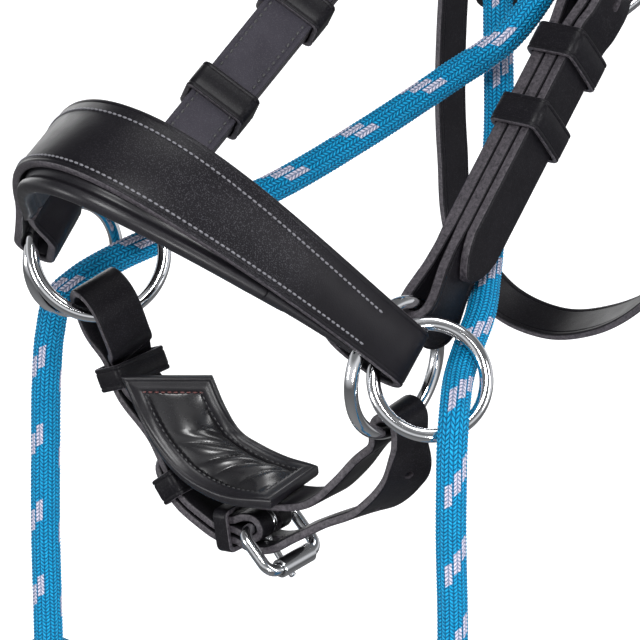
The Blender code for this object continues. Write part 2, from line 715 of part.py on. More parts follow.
def build_throatlatch():
    """It leaves the crownpiece's far side, hangs in a loop under the jaw and buckles on the near side."""
    way = Vector((0.06, 0.0, 0.998)).normalized()
    across = Vector((0.0, 1.0, 0.0))
    out = Vector((0.998, 0.0, -0.06)).normalized()
    bar_leg = BAR_R + FIT + THROAT_T / 2
    layer = 0.4 + THROAT_T / 2
    bar = THROAT_BUCKLE

    def local(s, n):
        return bar + s * way + n * out

    keys = [head(-47.3, -44.0, 298.0), head(-53.2, -44.5, 286.0), head(-55.0, -55.0, 262.0),
            hung(-64.0, 216.0, 80.0), hung(-67.7, 213.0, 26.0), hung(-67.5, 213.0, -36.0),
            hung(-62.0, 213.0, -72.0), hung(-42.7, 213.0, -92.0), hung(-17.1, 213.0, -95.0),
            hung(8.0, 213.0, -86.0), hung(32.0, 213.0, -68.0), hung(54.0, 213.0, -36.0),
            hung(66.0, 214.0, 10.0), local(-32.0, layer)]
    keys += straight(local(-19.0, layer), way, 5.0) + [local(-5.0, bar_leg - 0.5)]
    turned = Vector((0.0, 0.93, 0.37))
    keys_across = [head_dir(0.0, -1.0, 0.1), head_dir(0.0, -1.0, 0.15), head_dir(0.0, -1.0, 0.45), across,
                   across, across, across, turned, turned, turned, across.lerp(turned, 0.6)]
    keys_across += [across] * (len(keys) - len(keys_across))
    path, wide = turned_along(keys, keys_across, 3)
    fold = [local(s, n) for s, n in half_turn(bar_leg, 0.0, 8, True)]
    tail = [local(s, n) for s, n in ((-5.0, 0.4 - bar_leg), (-14.0, -layer), (-30.0, -layer))]
    path = path + fold + tail
    wide = wide + [across] * (len(fold) + len(tail))
    item = strap("throatlatch", path, wide, THROAT_W, THROAT_T)
    cut(item, slot_mesh(bar + 1.5 * way, way, across, out, 13.0, 2 * PRONG_R + 2.0, 2 * (bar_leg + THROAT_T)),
        "throatlatch_slot")
    tilt = math.radians(28.0)
    build_buckle("throat", bar, way, across, out, THROAT_W / 2 + 4.2, 19.0, tilt)
    over = bar_leg + THROAT_T + FIT
    lying = layer + THROAT_T + 0.5
    billet = [local(-36.0, lying), local(-33.0, lying), local(-29.5, lying)]
    billet += straight(local(-19.0, lying), way, 5.0)
    billet += [local(-7.0, over - 0.4), local(-2.0, over), local(3.0, over), local(9.0, over - 1.6),
               local(16.0, lying - 1.2), local(27.0, lying - 2.4),
               hung(65.0, 222.0, 118.0), head(55.0, -56.0, 262.0), head(53.2, -44.5, 286.0),
               head(47.3, -44.0, 298.0)]
    billet_across = [across] * (len(billet) - 4) + [across, head_dir(0.0, -1.0, 0.45), head_dir(0.0, -1.0, 0.15),
                                                     head_dir(0.0, -1.0, 0.1)]
    path, wide = turned_along(billet, billet_across, 3)
    keys_w = [0.4 * THROAT_W, 0.8 * THROAT_W] + [THROAT_W] * (len(billet) - 2)
    widths = widths_along(keys_w, 3)
    item = strap("throat_billet", path, wide, widths, THROAT_T)
    cut(item, slot_mesh(local(5.5, over - 1.0), way, across, out, 14.0, 2 * PRONG_R + 1.6, 3.4 * THROAT_T),
        "throat_billet_hole")
    keeper("throat_keeper", local(-19.0, 0.0), way, across, out, THROAT_W, -layer - THROAT_T / 2,
           lying + THROAT_T / 2, 9.0)


# Chin strap, its buckle and its pad

CHIN_T = 3.2                    # chin strap thickness
PAD_LOOP_T = 1.6                # loop behind the pad
CHIN_TILT = math.radians(52.4)  # the strap's pull tips the buckle's frame outward
CHIN_FRAME_L = 17.9
ROLLER_R = 3.5

# Far end: the strap turns round the bottom of the far chin ring, a little askew to its wire
FAR_WIRE = CHIN_FAR.wire(Vector((0.518, -0.295, -0.803)))
FAR_KEEPER = hung(-44.4, 0.2, -45.6)
FAR_KEEPER_WAY = Vector((0.45, -0.02, -0.89)).normalized()
FAR_KEEPER_ACROSS = Vector((0.12, 0.97, -0.05))
FAR_WAY = (FAR_KEEPER - FAR_WIRE).normalized()
FAR_ACROSS = Vector((0.32, 0.92, 0.1))
FAR_ACROSS = (FAR_ACROSS - FAR_ACROSS.dot(FAR_WAY) * FAR_WAY).normalized()
FAR_OUT = FAR_ACROSS.cross(FAR_WAY)
FAR_LEG = WIRE_R + CHIN_T / 2 + 5.1
FAR_SAG = 4.2

# Near end: round the bottom of the near chin ring
NEAR_BOTTOM = CHIN_NEAR.wire(Vector((0.0, 0.105, -0.995)))
NEAR_LEG = WIRE_R + CHIN_T / 2 + 1.0
NEAR_SAG = CHIN_RING_R - math.sqrt(CHIN_RING_R ** 2 - (CHIN_W / 2) ** 2)
BACK = Vector((0.0, 1.0, 0.0))
NEAR_ACROSS = Vector((0.0, 0.995, 0.105))

# Buckle, on the strap's sewn end
CHIN_BAR = hung(18.5, 1.0, -87.0)
CHIN_WAY = Vector((0.985, 0.04, 0.16)).normalized()
CHIN_ACROSS = (BACK - BACK.dot(CHIN_WAY) * CHIN_WAY).normalized()
CHIN_OUT = -CHIN_ACROSS.cross(CHIN_WAY)
CHIN_OUT = CHIN_OUT if CHIN_OUT.z < 0.0 else -CHIN_OUT
CHIN_BAR_LEG = BAR_R + FIT + CHIN_T / 2
CHIN_OVER = CHIN_BAR_LEG + CHIN_T + FIT
LAY = CHIN_T + 0.4              # from one layer's middle to the next
TAIL_LIFT = 0.6                 # the tail stands off the layers below it by this much more

# The outer run, from the buckle up to the far keeper: places and width directions
MID_KEEPER = hung(-16.6, -0.8, -79.8)
MID_WAY = Vector((-0.66, 0.0, 0.75)).normalized()
MID_OUT = Vector((-MID_WAY.z, 0.0, MID_WAY.x))
OUTER_RUN_LOW = [((-4.0, -0.3, -88.6), BACK)]
OUTER_RUN_HIGH = [((-27.5, -0.3, -66.0), BACK)]


PAD_W = 33.0
PAD_ROLL = 4.3                  # piped border's thickness
PAD_CROWN = 3.4                 # the centre swells this much above the border
PAD_CHANNEL = 13.2              # half the width of the channel that the strap lies in
PAD_CHANNEL_H = 2.7             # the channel's roof, below the top of the border
# Middle of the pad at the height of its border's top, and its width directions
PAD_LINE = [((-23.3, -5.0, -40.6), Vector((0.766, 0.643, 0.0))),
            ((-19.0, -3.0, -51.9), Vector((0.766, 0.643, 0.0))),
            ((-12.4, -1.2, -62.0), Vector((0.6, 0.8, 0.014))),
            ((-1.9, 0.0, -68.5), Vector((0.454, 0.874, 0.171))),
            ((10.9, 1.5, -71.3), Vector((0.28, 0.94, 0.18))),
            ((30.2, 3.0, -69.1), Vector((-0.155, 0.992, 0.0)))]


PAD_LOOP_AT = 37.5              # where its loop holds the strap, from its far end
PAD_STRAP_H = 7.0               # the strap's middle, below the top of the border there
# The inner run between the far keeper and the pad, and from the pad to the near ring
UNDER_PAD_FAR = [((-30.3, 2.4, -56.0), Vector((0.22, 0.96, -0.1)))]
INNER_RUN_NEAR = [((43.0, 4.2, -70.5), BACK), ((54.0, 6.0, -59.0), BACK), ((63.0, 8.0, -46.5), NEAR_ACROSS)]
PAD_PLACES = [hung(*p) for p, v in PAD_LINE]
PAD_FINE = curve_through(PAD_PLACES, 8)
PAD_SIDES = curve_through([v for p, v in PAD_LINE], 8, PAD_PLACES)
PAD_GONE = [0.0]
for i in range(len(PAD_FINE) - 1):
    PAD_GONE.append(PAD_GONE[-1] + (PAD_FINE[i + 1] - PAD_FINE[i]).length)


def pad_frame(s):
    """Middle, width, length and upward directions at a distance from the pad's far end."""
    i = max(k for k in range(len(PAD_GONE) - 1) if PAD_GONE[k] <= s + 1e-9)
    f = (s - PAD_GONE[i]) / (PAD_GONE[i + 1] - PAD_GONE[i])
    way = (PAD_FINE[min(i + 2, len(PAD_FINE) - 1)] - PAD_FINE[max(i - 1, 0)]).normalized()
    side = PAD_SIDES[i].lerp(PAD_SIDES[i + 1], f).normalized()
    up = side.cross(way).normalized()
    return PAD_FINE[i].lerp(PAD_FINE[i + 1], f), side, way, (up if up.z > 0.0 else -up)


def under_pad(s, depth):
    """Middle of the strap below the pad, its width, length and upward directions, all square."""
    point, side, way, up = pad_frame(s)
    return point - depth * up, (side - side.dot(way) * way).normalized(), way, up


def chin_local(s, n):
    return CHIN_BAR + s * CHIN_WAY + n * CHIN_OUT


def far_loop(s, n):
    return FAR_WIRE + s * FAR_WAY + (n + 1.6) * FAR_OUT


def far_keeper_frame():
    side = (FAR_KEEPER_ACROSS - FAR_KEEPER_ACROSS.dot(FAR_KEEPER_WAY) * FAR_KEEPER_WAY).normalized()
    return side, side.cross(FAR_KEEPER_WAY)


def with_side(places, side):
    return [(p, side) for p in places]


def build_chin_strap():
    """One strap: its sewn end holds the buckle; it turns round the far ring, runs under the pad,
    turns round the near ring and comes back through the buckle and under the keepers."""
    side, out = far_keeper_frame()
    half = LAY / 2 + 0.6
    bend = [chin_local(CHIN_BAR_LEG * math.sin(math.pi * k / 8), -CHIN_BAR_LEG * math.cos(math.pi * k / 8))
            for k in range(9)]
    sewn = [chin_local(-16.5, -LAY / 2), chin_local(-8.0, -LAY / 2), chin_local(-4.5, 0.5 - CHIN_BAR_LEG)]
    first = [(chin_local(-4.5, CHIN_BAR_LEG - 1.0), CHIN_ACROSS)]
    first += with_side(straight(chin_local(-12.0, LAY / 2), -CHIN_WAY, 3.4), CHIN_ACROSS)
    first += [(hung(*p), v) for p, v in OUTER_RUN_LOW]
    first += with_side(straight(MID_KEEPER, MID_WAY, 5.5), BACK)
    first += [(hung(*p), v) for p, v in OUTER_RUN_HIGH]
    first += with_side(straight(FAR_KEEPER + half * out, -FAR_KEEPER_WAY, 4.6), side)
    first += [(far_loop(8.0, FAR_LEG), FAR_ACROSS.lerp(side, 0.3)), (far_loop(0.0, FAR_LEG), FAR_ACROSS)]
    fold = [far_loop(-FAR_SAG - FAR_LEG * math.sin(math.pi * k / 8), FAR_LEG * math.cos(math.pi * k / 8))
            for k in range(9)]
    second = [(far_loop(0.0, -FAR_LEG), FAR_ACROSS), (far_loop(8.0, -FAR_LEG), FAR_ACROSS.lerp(side, 0.3))]
    second += with_side(straight(FAR_KEEPER - half * out, FAR_KEEPER_WAY, 4.6), side)
    second += [(hung(*p), v) for p, v in UNDER_PAD_FAR]
    point, pad_side, way, up = under_pad(27.0, 6.3)
    second += [(point, pad_side)]
    point, pad_side, way, up = under_pad(PAD_LOOP_AT, PAD_STRAP_H)
    second += with_side(straight(point, way, 3.5), pad_side)
    point, pad_side, way, up = under_pad(62.0, 6.5)
    second += [(point, pad_side)]
    second += [(hung(*p), v) for p, v in INNER_RUN_NEAR]
    second += [(NEAR_BOTTOM + Vector((-NEAR_LEG, -0.6, -6.0)), NEAR_ACROSS)]
    turn = [NEAR_BOTTOM + Vector((-NEAR_LEG * math.cos(math.pi * k / 8), 0.0,
                                  NEAR_SAG + NEAR_LEG * math.sin(math.pi * k / 8))) for k in range(9)]
    twisted = Vector((0.42, 0.9, 0.08))
    third = [(NEAR_BOTTOM + Vector((NEAR_LEG, -0.3, -6.0)), NEAR_ACROSS),
             (NEAR_BOTTOM + Vector((NEAR_LEG, -1.0, -16.0)), twisted), (hung(75.0, 7.4, -58.0), twisted),
             (hung(66.5, 6.5, -67.5), twisted), (hung(49.5, 4.5, -77.6), Vector((0.12, 0.99, 0.0))),
             (hung(36.0, 2.5, -86.6), CHIN_ACROSS), (chin_local(6.5, CHIN_OVER), CHIN_ACROSS),
             (chin_local(-4.0, CHIN_OVER + 0.15), CHIN_ACROSS)]
    third += with_side(straight(chin_local(-12.0, 1.5 * LAY + TAIL_LIFT), -CHIN_WAY, 3.4), CHIN_ACROSS)
    third += [(hung(*p) + (LAY + TAIL_LIFT) * Vector((-0.42, 0.0, -0.9)), v) for p, v in OUTER_RUN_LOW]
    third += with_side(straight(MID_KEEPER + (LAY + TAIL_LIFT) * MID_OUT, MID_WAY, 5.5), BACK)
    third += [(MID_KEEPER + (LAY + TAIL_LIFT) * MID_OUT + 12.0 * MID_WAY, BACK)]
    path = list(sewn) + bend
    across = [CHIN_ACROSS] * len(path)
    for run, arc, arc_side in ((first, fold, FAR_ACROSS), (second, turn, NEAR_ACROSS), (third, [], None)):
        places, sides = turned_along([p for p, v in run], [v for p, v in run], 2)
        path += places + arc
        across += sides + [arc_side] * len(arc)
    widths = [CHIN_W] * len(path)
    for i, share in ((1, 0.45), (2, 0.72), (3, 0.93)):
        widths[-i] = share * CHIN_W
    item = make_object("chin_strap", strap_mesh(path, across, widths, CHIN_T, 0.0), BLACK, 0.42)
    holes = [slot_mesh(chin_local(0.8, 0.0), CHIN_WAY, CHIN_ACROSS, CHIN_OUT, 15.0, 2 * PRONG_R + 2.0,
                       2 * (CHIN_BAR_LEG + CHIN_T / 2) + 0.1),
             slot_mesh(chin_local(2.0, CHIN_OVER + 1.3), CHIN_WAY, CHIN_ACROSS, CHIN_OUT, 10.0,
                       2 * PRONG_R + 1.6, CHIN_T + 2.8)]
    down, down_sides = turned_along([p for p, v in third], [v for p, v in third], 2)
    for i in (3, 6, 9):
        along = (down[i + 1] - down[i - 1]).normalized()
        side_way = (down_sides[i] - down_sides[i].dot(along) * along).normalized()
        holes.append(slot_mesh(down[i], along, side_way, along.cross(side_way), 3.6, 3.6, 2.0 * CHIN_T))
    cut(item, merge(holes), "chin_strap_holes")


def build_chin_fittings():
    build_buckle("chin", CHIN_BAR, CHIN_WAY, CHIN_ACROSS, CHIN_OUT, CHIN_W / 2 + 5.0, CHIN_FRAME_L, CHIN_TILT,
                 ROLLER_R)
    side, out = far_keeper_frame()
    reach = LAY / 2 + 0.6 + CHIN_T / 2
    keeper("chin_keeper_far", FAR_KEEPER, FAR_KEEPER_WAY, side, out, CHIN_W, -reach, reach, 9.0,
           1.6, 1.7)
    keeper("chin_keeper_mid", MID_KEEPER, MID_WAY, BACK, MID_OUT, CHIN_W, -CHIN_T / 2,
           LAY + TAIL_LIFT + CHIN_T / 2, 10.0, 1.6, 0.75)
    keeper("chin_keeper_low", chin_local(-12.0, 0.0), -CHIN_WAY, CHIN_ACROSS, CHIN_OUT, CHIN_W,
           -LAY / 2 - CHIN_T / 2, 1.5 * LAY + TAIL_LIFT + CHIN_T / 2, 6.4)


def pad_top(edge):
    """Height of the pad's top, from its border's top, at a distance in from its rim."""
    if edge < PAD_ROLL - 0.01:
        swell = max(1.0 - ((edge - PAD_ROLL / 2) / (PAD_ROLL / 2)) ** 2, 0.0)
        return (math.sqrt(swell) - 1.0) * PAD_ROLL / 2
    rest = min((edge - PAD_ROLL) / 7.5, 1.0)
    return -1.0 + (PAD_CROWN + 1.0) * math.sin(rest * math.pi / 2)


def pad_bottom(a, edge):
    """Height of its underside: rounded under the border, raised along the channel."""
    if edge < PAD_ROLL / 2:
        swell = max(1.0 - ((edge - PAD_ROLL / 2) / (PAD_ROLL / 2)) ** 2, 0.0)
        return -PAD_ROLL / 2 - 0.05 - math.sqrt(swell) * (PAD_ROLL / 2 - 0.05)
    if abs(a) <= PAD_CHANNEL:
        return -PAD_CHANNEL_H
    return -PAD_ROLL


def build_chin_pad():
    """A crowned pad with a piped rim. It lies along the inner run, its ends askew as it hangs."""
    half = PAD_W / 2
    ends = [0.0, 0.6, 1.4, 2.15, half - PAD_CHANNEL - 0.05, half - PAD_CHANNEL + 0.05, PAD_ROLL, PAD_ROLL + 1.6]
    spots = [-half + e for e in ends] + [-8.0, -5.0, 0.0, 5.0, 8.0] + [half - e for e in reversed(ends)]
    whole = PAD_GONE[-1]
    stops = ends[:7] + [whole * (0.14 + 0.72 * k / 9) for k in range(10)]
    stops += [whole - e for e in reversed(ends[:7])]
    tops_at, lows_at = [], []
    for s in stops:
        point, side, way, up = pad_frame(s)
        top, low = [], []
        for a in spots:
            edge = min(half - abs(a), s, whole - s)
            top.append(point + a * side + pad_top(edge) * up)
            low.append(point + a * side + pad_bottom(a, edge) * up)
        tops_at.append(top)
        lows_at.append(low)
    bm = bmesh.new()
    tops = [[bm.verts.new(p) for p in row] for row in tops_at]
    lows = [[bm.verts.new(p) for p in row] for row in lows_at]
    rows, cols = len(tops), len(tops[0])
    for i in range(rows - 1):
        for j in range(cols - 1):
            bm.faces.new((tops[i][j], tops[i][j + 1], tops[i + 1][j + 1], tops[i + 1][j]))
            bm.faces.new((lows[i][j], lows[i + 1][j], lows[i + 1][j + 1], lows[i][j + 1]))
    rim = ([(0, j) for j in range(cols)] + [(i, cols - 1) for i in range(1, rows)]
           + [(rows - 1, j) for j in range(cols - 2, -1, -1)] + [(i, 0) for i in range(rows - 2, 0, -1)])
    for (i, j), (k, m) in zip(rim, rim[1:] + rim[:1]):
        bm.faces.new((tops[i][j], tops[k][m], lows[k][m], lows[i][j]))
    make_object("chin_pad", bm, LINING_BLACK, 0.35, 0.0)


def build_pad_loop():
    """The loop on the pad's back that holds it to the strap."""
    point, side, way, up = under_pad(PAD_LOOP_AT, PAD_STRAP_H)
    keeper("chin_pad_loop", point, way, side, up, CHIN_W, -CHIN_T / 2, CHIN_T / 2, 7.0, PAD_LOOP_T, 0.75)


# Cross-under ropes

SLEEVE_L = 34.0
SLEEVE_R = 8.2
SLEEVE_BORE = 14.0
BORE_SLACK = 0.5                # between the rope and the sleeve


class Rope:
    """One rope: the sleeve it leaves, its route by hand-chosen points, and where its hank hangs."""

    def __init__(self, name, strap_keys, mouth, mouth_way, route):
        self.name = name
        self.strap_keys = strap_keys
        self.mouth = mouth
        self.way = mouth_way.normalized()
        self.route = route


ROPE_TO_FAR = Rope(
    "far",
    [head(42.4, -44.0, 297.1), head(48.2, -44.5, 285.0), head(48.0, -45.0, 262.0), hung(46.5, 204.0, 136.0),
     hung(47.5, 178.0, 124.0)],
    hung(44.5, 126.0, 88.0), Vector((-0.1, -0.66, -0.74)),
    [hung(40.0, 112.0, 73.0), hung(21.5, 97.8, 54.3), hung(-2.0, 81.3, 32.5), hung(-25.7, 62.6, 12.5),
     hung(-59.2, 34.3, -9.0), hung(-70.6, 22.2, -16.4), hung(-80.7, 11.2, -25.1), hung(-86.2, 7.0, -32.2),
     hung(-88.1, 4.2, -45.2), hung(-88.7, 2.6, -62.0), hung(-88.9, 1.5, -92.3), hung(-89.0, 0.8, -125.5),
     hung(-89.0, 1.2, -160.0), hung(-89.0, 1.6, -196.0)])
ROPE_TO_NEAR = Rope(
    "near",
    [head(-42.4, -44.0, 297.1), head(-48.2, -44.5, 285.0), head(-47.0, -45.0, 262.0), hung(-34.0, 200.0, 128.0),
     hung(-17.0, 180.0, 108.0)],
    hung(15.0, 136.5, 72.0), Vector((0.50, -0.62, -0.60)),
    [hung(42.0, 103.5, 33.7), hung(58.3, 79.6, 17.5), hung(73.1, 58.2, 5.2), hung(84.0, 41.4, -0.7),
     hung(89.8, 28.2, -5.5), hung(97.1, 13.2, -11.4), hung(104.0, 3.0, -15.2), hung(107.9, -2.7, -19.5),
     hung(109.8, -5.7, -27.0), hung(110.6, -6.9, -42.0), hung(110.5, -6.8, -58.8), hung(110.5, -5.6, -90.0),
     hung(110.5, -5.0, -128.0)])


def build_cross_strap(rope, name):
    """A strap from the crownpiece, rolled round the rope's end as a sleeve."""
    back = rope.mouth - SLEEVE_L * rope.way
    keys = rope.strap_keys + [back, back + 0.35 * SLEEVE_L * rope.way]
    path = curve_through(keys, 4)
    wide = head_dir(0.0, -1.0, 0.2)
    narrow = [1.0] * (len(path) - 8) + [1.0 - 0.022 * k for k in range(8)]
    item = strap(name, path, [wide] * len(path), [THROAT_W * f for f in narrow], STRAP_T)
    steps = [0.0, 0.14, 0.3, 1.0]
    radii = [0.45 * SLEEVE_R, 0.82 * SLEEVE_R, SLEEVE_R, SLEEVE_R]
    tube = tube_mesh([back + f * SLEEVE_L * rope.way for f in steps], radii, 12)
    add(item, tube, name + "_roll")
    bore = tube_mesh([rope.mouth - SLEEVE_BORE * rope.way, rope.mouth + 2.0 * rope.way],
                     ROPE_D / 2 + BORE_SLACK, 12)
    cut(item, bore, name + "_bore")


def rope_route(rope):
    start = rope.mouth - (SLEEVE_BORE - GAP) * rope.way
    keys = [start, start + 7.0 * rope.way, rope.mouth + 4.0 * rope.way] + rope.route
    return curve_through(keys, 3)


def cord_object(name, points, sides_level, colour, roughness):
    """A round cord as a bevelled curve through the points."""
    data = bpy.data.curves.new(name, "CURVE")
    data.dimensions = "3D"
    data.bevel_depth = ROPE_D / 2 * MM
    data.bevel_resolution = sides_level
    data.use_fill_caps = True
    line = data.splines.new("POLY")
    line.points.add(len(points) - 1)
    for spot, p in zip(line.points, points):
        spot.co = (p.x * MM, p.y * MM, p.z * MM, 1.0)
    data.materials.append(finish_of(name, colour, roughness, 0.0))
    item = bpy.data.objects.new(name, data)
    bpy.context.scene.collection.objects.link(item)
    return item


def hank_points(top):
    """A rope hung in long turns that the tie draws in at the waist; its end hangs out below."""
    half = HANK_RUN / 2
    centre = top + Vector((-HANK_HALF, 0.0, -ROPE_D * 1.2 - half))
    points = [Vector(top), top - Vector((0.0, 0.0, ROPE_D * 0.6))]

    def spread(z):
        return HANK_WAIST + (HANK_HALF - HANK_WAIST) * (abs(z) / half) ** 2

    run_shares = [1.0 - k / 4 for k in range(9)]
    climb = 0.0
    for turn in range(HANK_TURNS + 1):
        for share in run_shares:
            z = half * share
            points.append(centre + Vector((spread(z), climb, z)))
        if turn == HANK_TURNS:
            break
        for k in range(1, 5):
            angle = math.pi * k / 5
            points.append(centre + Vector((HANK_HALF * math.cos(angle), climb,
                                           -half - HANK_HALF * math.sin(angle))))
        for index, share in enumerate(reversed(run_shares)):
            z = half * share
            up = HANK_STEP * (index / 8)
            points.append(centre + Vector((-spread(z), climb + up, z)))
        climb += HANK_STEP
        for k in range(1, 5):
            angle = math.pi * k / 5
            points.append(centre + Vector((-HANK_HALF * math.cos(angle), climb,
                                           half + HANK_HALF * math.sin(angle))))
    last = points[-1]
    points.append(last + Vector((0.6, 0.0, -14.0)))
    points.append(last + Vector((0.6, 0.0, -26.0)))
    return points, centre


def fine_points(points, step):
    out = []
    for a, b in zip(points[:-1], points[1:]):
        count = max(int((b - a).length / step), 1)
        out += [a.lerp(b, k / count) for k in range(count)]
    out.append(points[-1])
    return out


def self_gap(points, step=2.5):
    """Least clear distance between parts of a cord that aren't next to each other."""
    fine = fine_points(points, step)
    skip = int(2.2 * ROPE_D / step)
    least = 1e9
    for i in range(len(fine)):
        for j in range(i + skip, len(fine)):
            least = min(least, (fine[i] - fine[j]).length)
    return least - ROPE_D


def build_rope(rope):
    route = rope_route(rope)
    cord_object("rope_" + rope.name, route, 2, ROPE_BLUE, 0.75)
    top = route[-1] - Vector((0.0, 0.0, GAP))
    points, centre = hank_points(top)
    cord_object("rope_hank_" + rope.name, points, 1, ROPE_BLUE, 0.75)
    total = sum((b - a).length for a, b in zip(route[:-1], route[1:]))
    wound = sum((b - a).length for a, b in zip(points[:-1], points[1:]))
    print("rope", rope.name, "run mm", round(total), "hank mm", round(wound),
          "hank's least gap to itself mm", round(self_gap(points), 2))
    half_x = HANK_WAIST + ROPE_D / 2 + 0.7
    half_y = HANK_STEP * HANK_TURNS / 2 + ROPE_D / 2 + 0.7
    middle = centre + Vector((0.0, HANK_STEP * HANK_TURNS / 2, 0.0))
    thick = 2.6
    loop = rounded_loop(half_x + thick / 2, half_y + thick / 2, 6.0)
    path = [middle + Vector((a, b, 0.0)) for a, b in loop]
    strap("rope_tie_" + rope.name, path, Vector((0.0, 0.0, 1.0)), 15.0, thick, TIE_BLACK, closed=True)
    tail = points[-1]
    way = (points[-1] - points[-2]).normalized()
    steps = [GAP, GAP + 0.7, END_CAP_L * 0.5, END_CAP_L - 1.5, END_CAP_L]
    radii = [ROPE_D / 2 - 0.1, ROPE_D / 2 + 0.6, ROPE_D / 2 + 0.6, ROPE_D / 2 + 0.4, ROPE_D / 2 - 1.2]
    cap = tube_mesh([tail + s * way for s in steps], radii, 12)
    make_object("rope_end_" + rope.name, cap, TIE_BLACK, 0.5, 0.0)


def main():
    start_empty()
    build_rings()
    build_noseband()
    build_noseband_lining()
    build_cheeks()
    build_crownpiece()
    build_browband()
    build_throatlatch()
    build_chin_strap()
    build_chin_fittings()
    build_chin_pad()
    build_pad_loop()
    build_cross_strap(ROPE_TO_FAR, "cross_strap_near")
    build_cross_strap(ROPE_TO_NEAR, "cross_strap_far")
    build_rope(ROPE_TO_FAR)
    build_rope(ROPE_TO_NEAR)


main()
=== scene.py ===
"""Looks of the cross-under bitless bridle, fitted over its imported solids."""
import math

import bmesh
import bpy
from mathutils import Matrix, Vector


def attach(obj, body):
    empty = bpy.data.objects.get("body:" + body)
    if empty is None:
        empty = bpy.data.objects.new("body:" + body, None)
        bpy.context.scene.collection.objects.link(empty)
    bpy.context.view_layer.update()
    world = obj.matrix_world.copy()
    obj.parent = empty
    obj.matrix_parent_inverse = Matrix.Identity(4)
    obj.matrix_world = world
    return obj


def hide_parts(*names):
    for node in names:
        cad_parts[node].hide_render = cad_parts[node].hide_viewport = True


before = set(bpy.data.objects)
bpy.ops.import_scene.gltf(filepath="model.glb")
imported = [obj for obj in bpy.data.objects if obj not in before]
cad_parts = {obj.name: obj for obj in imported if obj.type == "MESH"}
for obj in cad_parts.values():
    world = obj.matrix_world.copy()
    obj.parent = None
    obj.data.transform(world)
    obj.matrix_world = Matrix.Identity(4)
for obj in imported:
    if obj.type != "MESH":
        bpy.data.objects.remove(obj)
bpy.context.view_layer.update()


# Camera, light and floor
#
# The bridle was photographed from its near side, a little above the noseband, with a long lens
# on a white ground. Sizes below are millimetres, and MM turns them into metres.
MM = 0.001
LEAN = math.radians(47.0)
FACE_OUT = Vector((0.0, -math.cos(LEAN), math.sin(LEAN)))
FACE_UP = Vector((0.0, math.sin(LEAN), math.cos(LEAN)))
SIDE = Vector((1.0, 0.0, 0.0))
MIDDLE = -325.0 * FACE_UP + 35.0 * FACE_OUT
VIEW_TURN, VIEW_RISE = math.radians(40.0), math.radians(25.0)
VIEW_RIGHT = Vector((math.cos(VIEW_TURN), math.sin(VIEW_TURN), 0.0))
VIEW_BACK = Vector((math.cos(VIEW_RISE) * math.sin(VIEW_TURN), -math.cos(VIEW_RISE) * math.cos(VIEW_TURN),
                    math.sin(VIEW_RISE)))
VIEW_UP = VIEW_BACK.cross(VIEW_RIGHT)


def head(x, d, u):
    """A point from sizes measured along the head: sideways, out from the face, up the head."""
    return MIDDLE + x * SIDE + d * FACE_OUT + u * FACE_UP


def head_dir(x, d, u):
    return (x * SIDE + d * FACE_OUT + u * FACE_UP).normalized()


def hung(x, y, z):
    """A point measured from the noseband's middle along the world's axes."""
    return MIDDLE + Vector((x, y, z))


def placed(name, data):
    """A new object, linked to the scene."""
    item = bpy.data.objects.new(name, data)
    bpy.context.scene.collection.objects.link(item)
    return item


VIEW_AIM, VIEW_AWAY = (34.3, -11.4), 2600.0
target = MIDDLE + VIEW_AIM[0] * VIEW_RIGHT + VIEW_AIM[1] * VIEW_UP
camera = placed("camera", bpy.data.cameras.new("camera"))
camera.location = (target + VIEW_AWAY * VIEW_BACK) * MM
camera.rotation_euler = VIEW_BACK.to_track_quat("Z", "Y").to_euler()
camera.data.sensor_width = 36.0
camera.data.lens = 409.5
camera.data.clip_start = 0.05
bpy.context.scene.camera = camera
bpy.context.scene.view_settings.view_transform = "Standard"


def plain_material(name):
    """A new material with its node tree and its shader."""
    material = bpy.data.materials.new(name)
    material.use_nodes = True
    return material, material.node_tree, material.node_tree.nodes["Principled BSDF"]


floor_paint, tree, shader = plain_material("studio_floor")
shader.inputs["Base Color"].default_value = (0.93, 0.93, 0.935, 1.0)
shader.inputs["Roughness"].default_value = 0.9
shader.inputs["Emission Color"].default_value = (0.97, 0.98, 1.0, 1.0)
shader.inputs["Emission Strength"].default_value = 0.42
floor_mesh = bpy.data.meshes.new("floor")
FLOOR_AT, FLOOR_HALF = -0.665, 6.0
corners = [(x * FLOOR_HALF, y * FLOOR_HALF, FLOOR_AT) for x, y in ((-1, -1), (1, -1), (1, 1), (-1, 1))]
floor_mesh.from_pydata(corners, [], [(0, 1, 2, 3)])
floor_mesh.materials.append(floor_paint)
floor = placed("floor", floor_mesh)
floor.visible_glossy = False

world = bpy.data.worlds.new("studio")
bpy.context.scene.world = world
world.use_nodes = True
sky = world.node_tree
spread = sky.nodes.new("ShaderNodeSeparateXYZ")
sky.links.new(sky.nodes.new("ShaderNodeTexCoord").outputs["Generated"], spread.inputs[0])
rise = sky.nodes.new("ShaderNodeMapRange")
rise.inputs["From Min"].default_value = -1.0
sky.links.new(spread.outputs[2], rise.inputs["Value"])
bands = sky.nodes.new("ShaderNodeValToRGB")
sky.links.new(rise.outputs[0], bands.inputs[0])
SKY_GREYS = ((0.0, 0.25), (0.325, 0.12), (0.44, 0.7), (0.56, 0.8), (0.675, 0.22), (0.875, 0.15), (1.0, 0.6))
marks = bands.color_ramp.elements
for place, grey in SKY_GREYS:
    stop = marks.new(place) if 0.0 < place < 1.0 else marks[-int(place)]
    stop.color = (0.97 * grey, 0.98 * grey, grey, 1.0)
sky.links.new(bands.outputs[0], sky.nodes["Background"].inputs["Color"])


LIGHT_AIM = Vector((0.0, -0.25, -0.2))


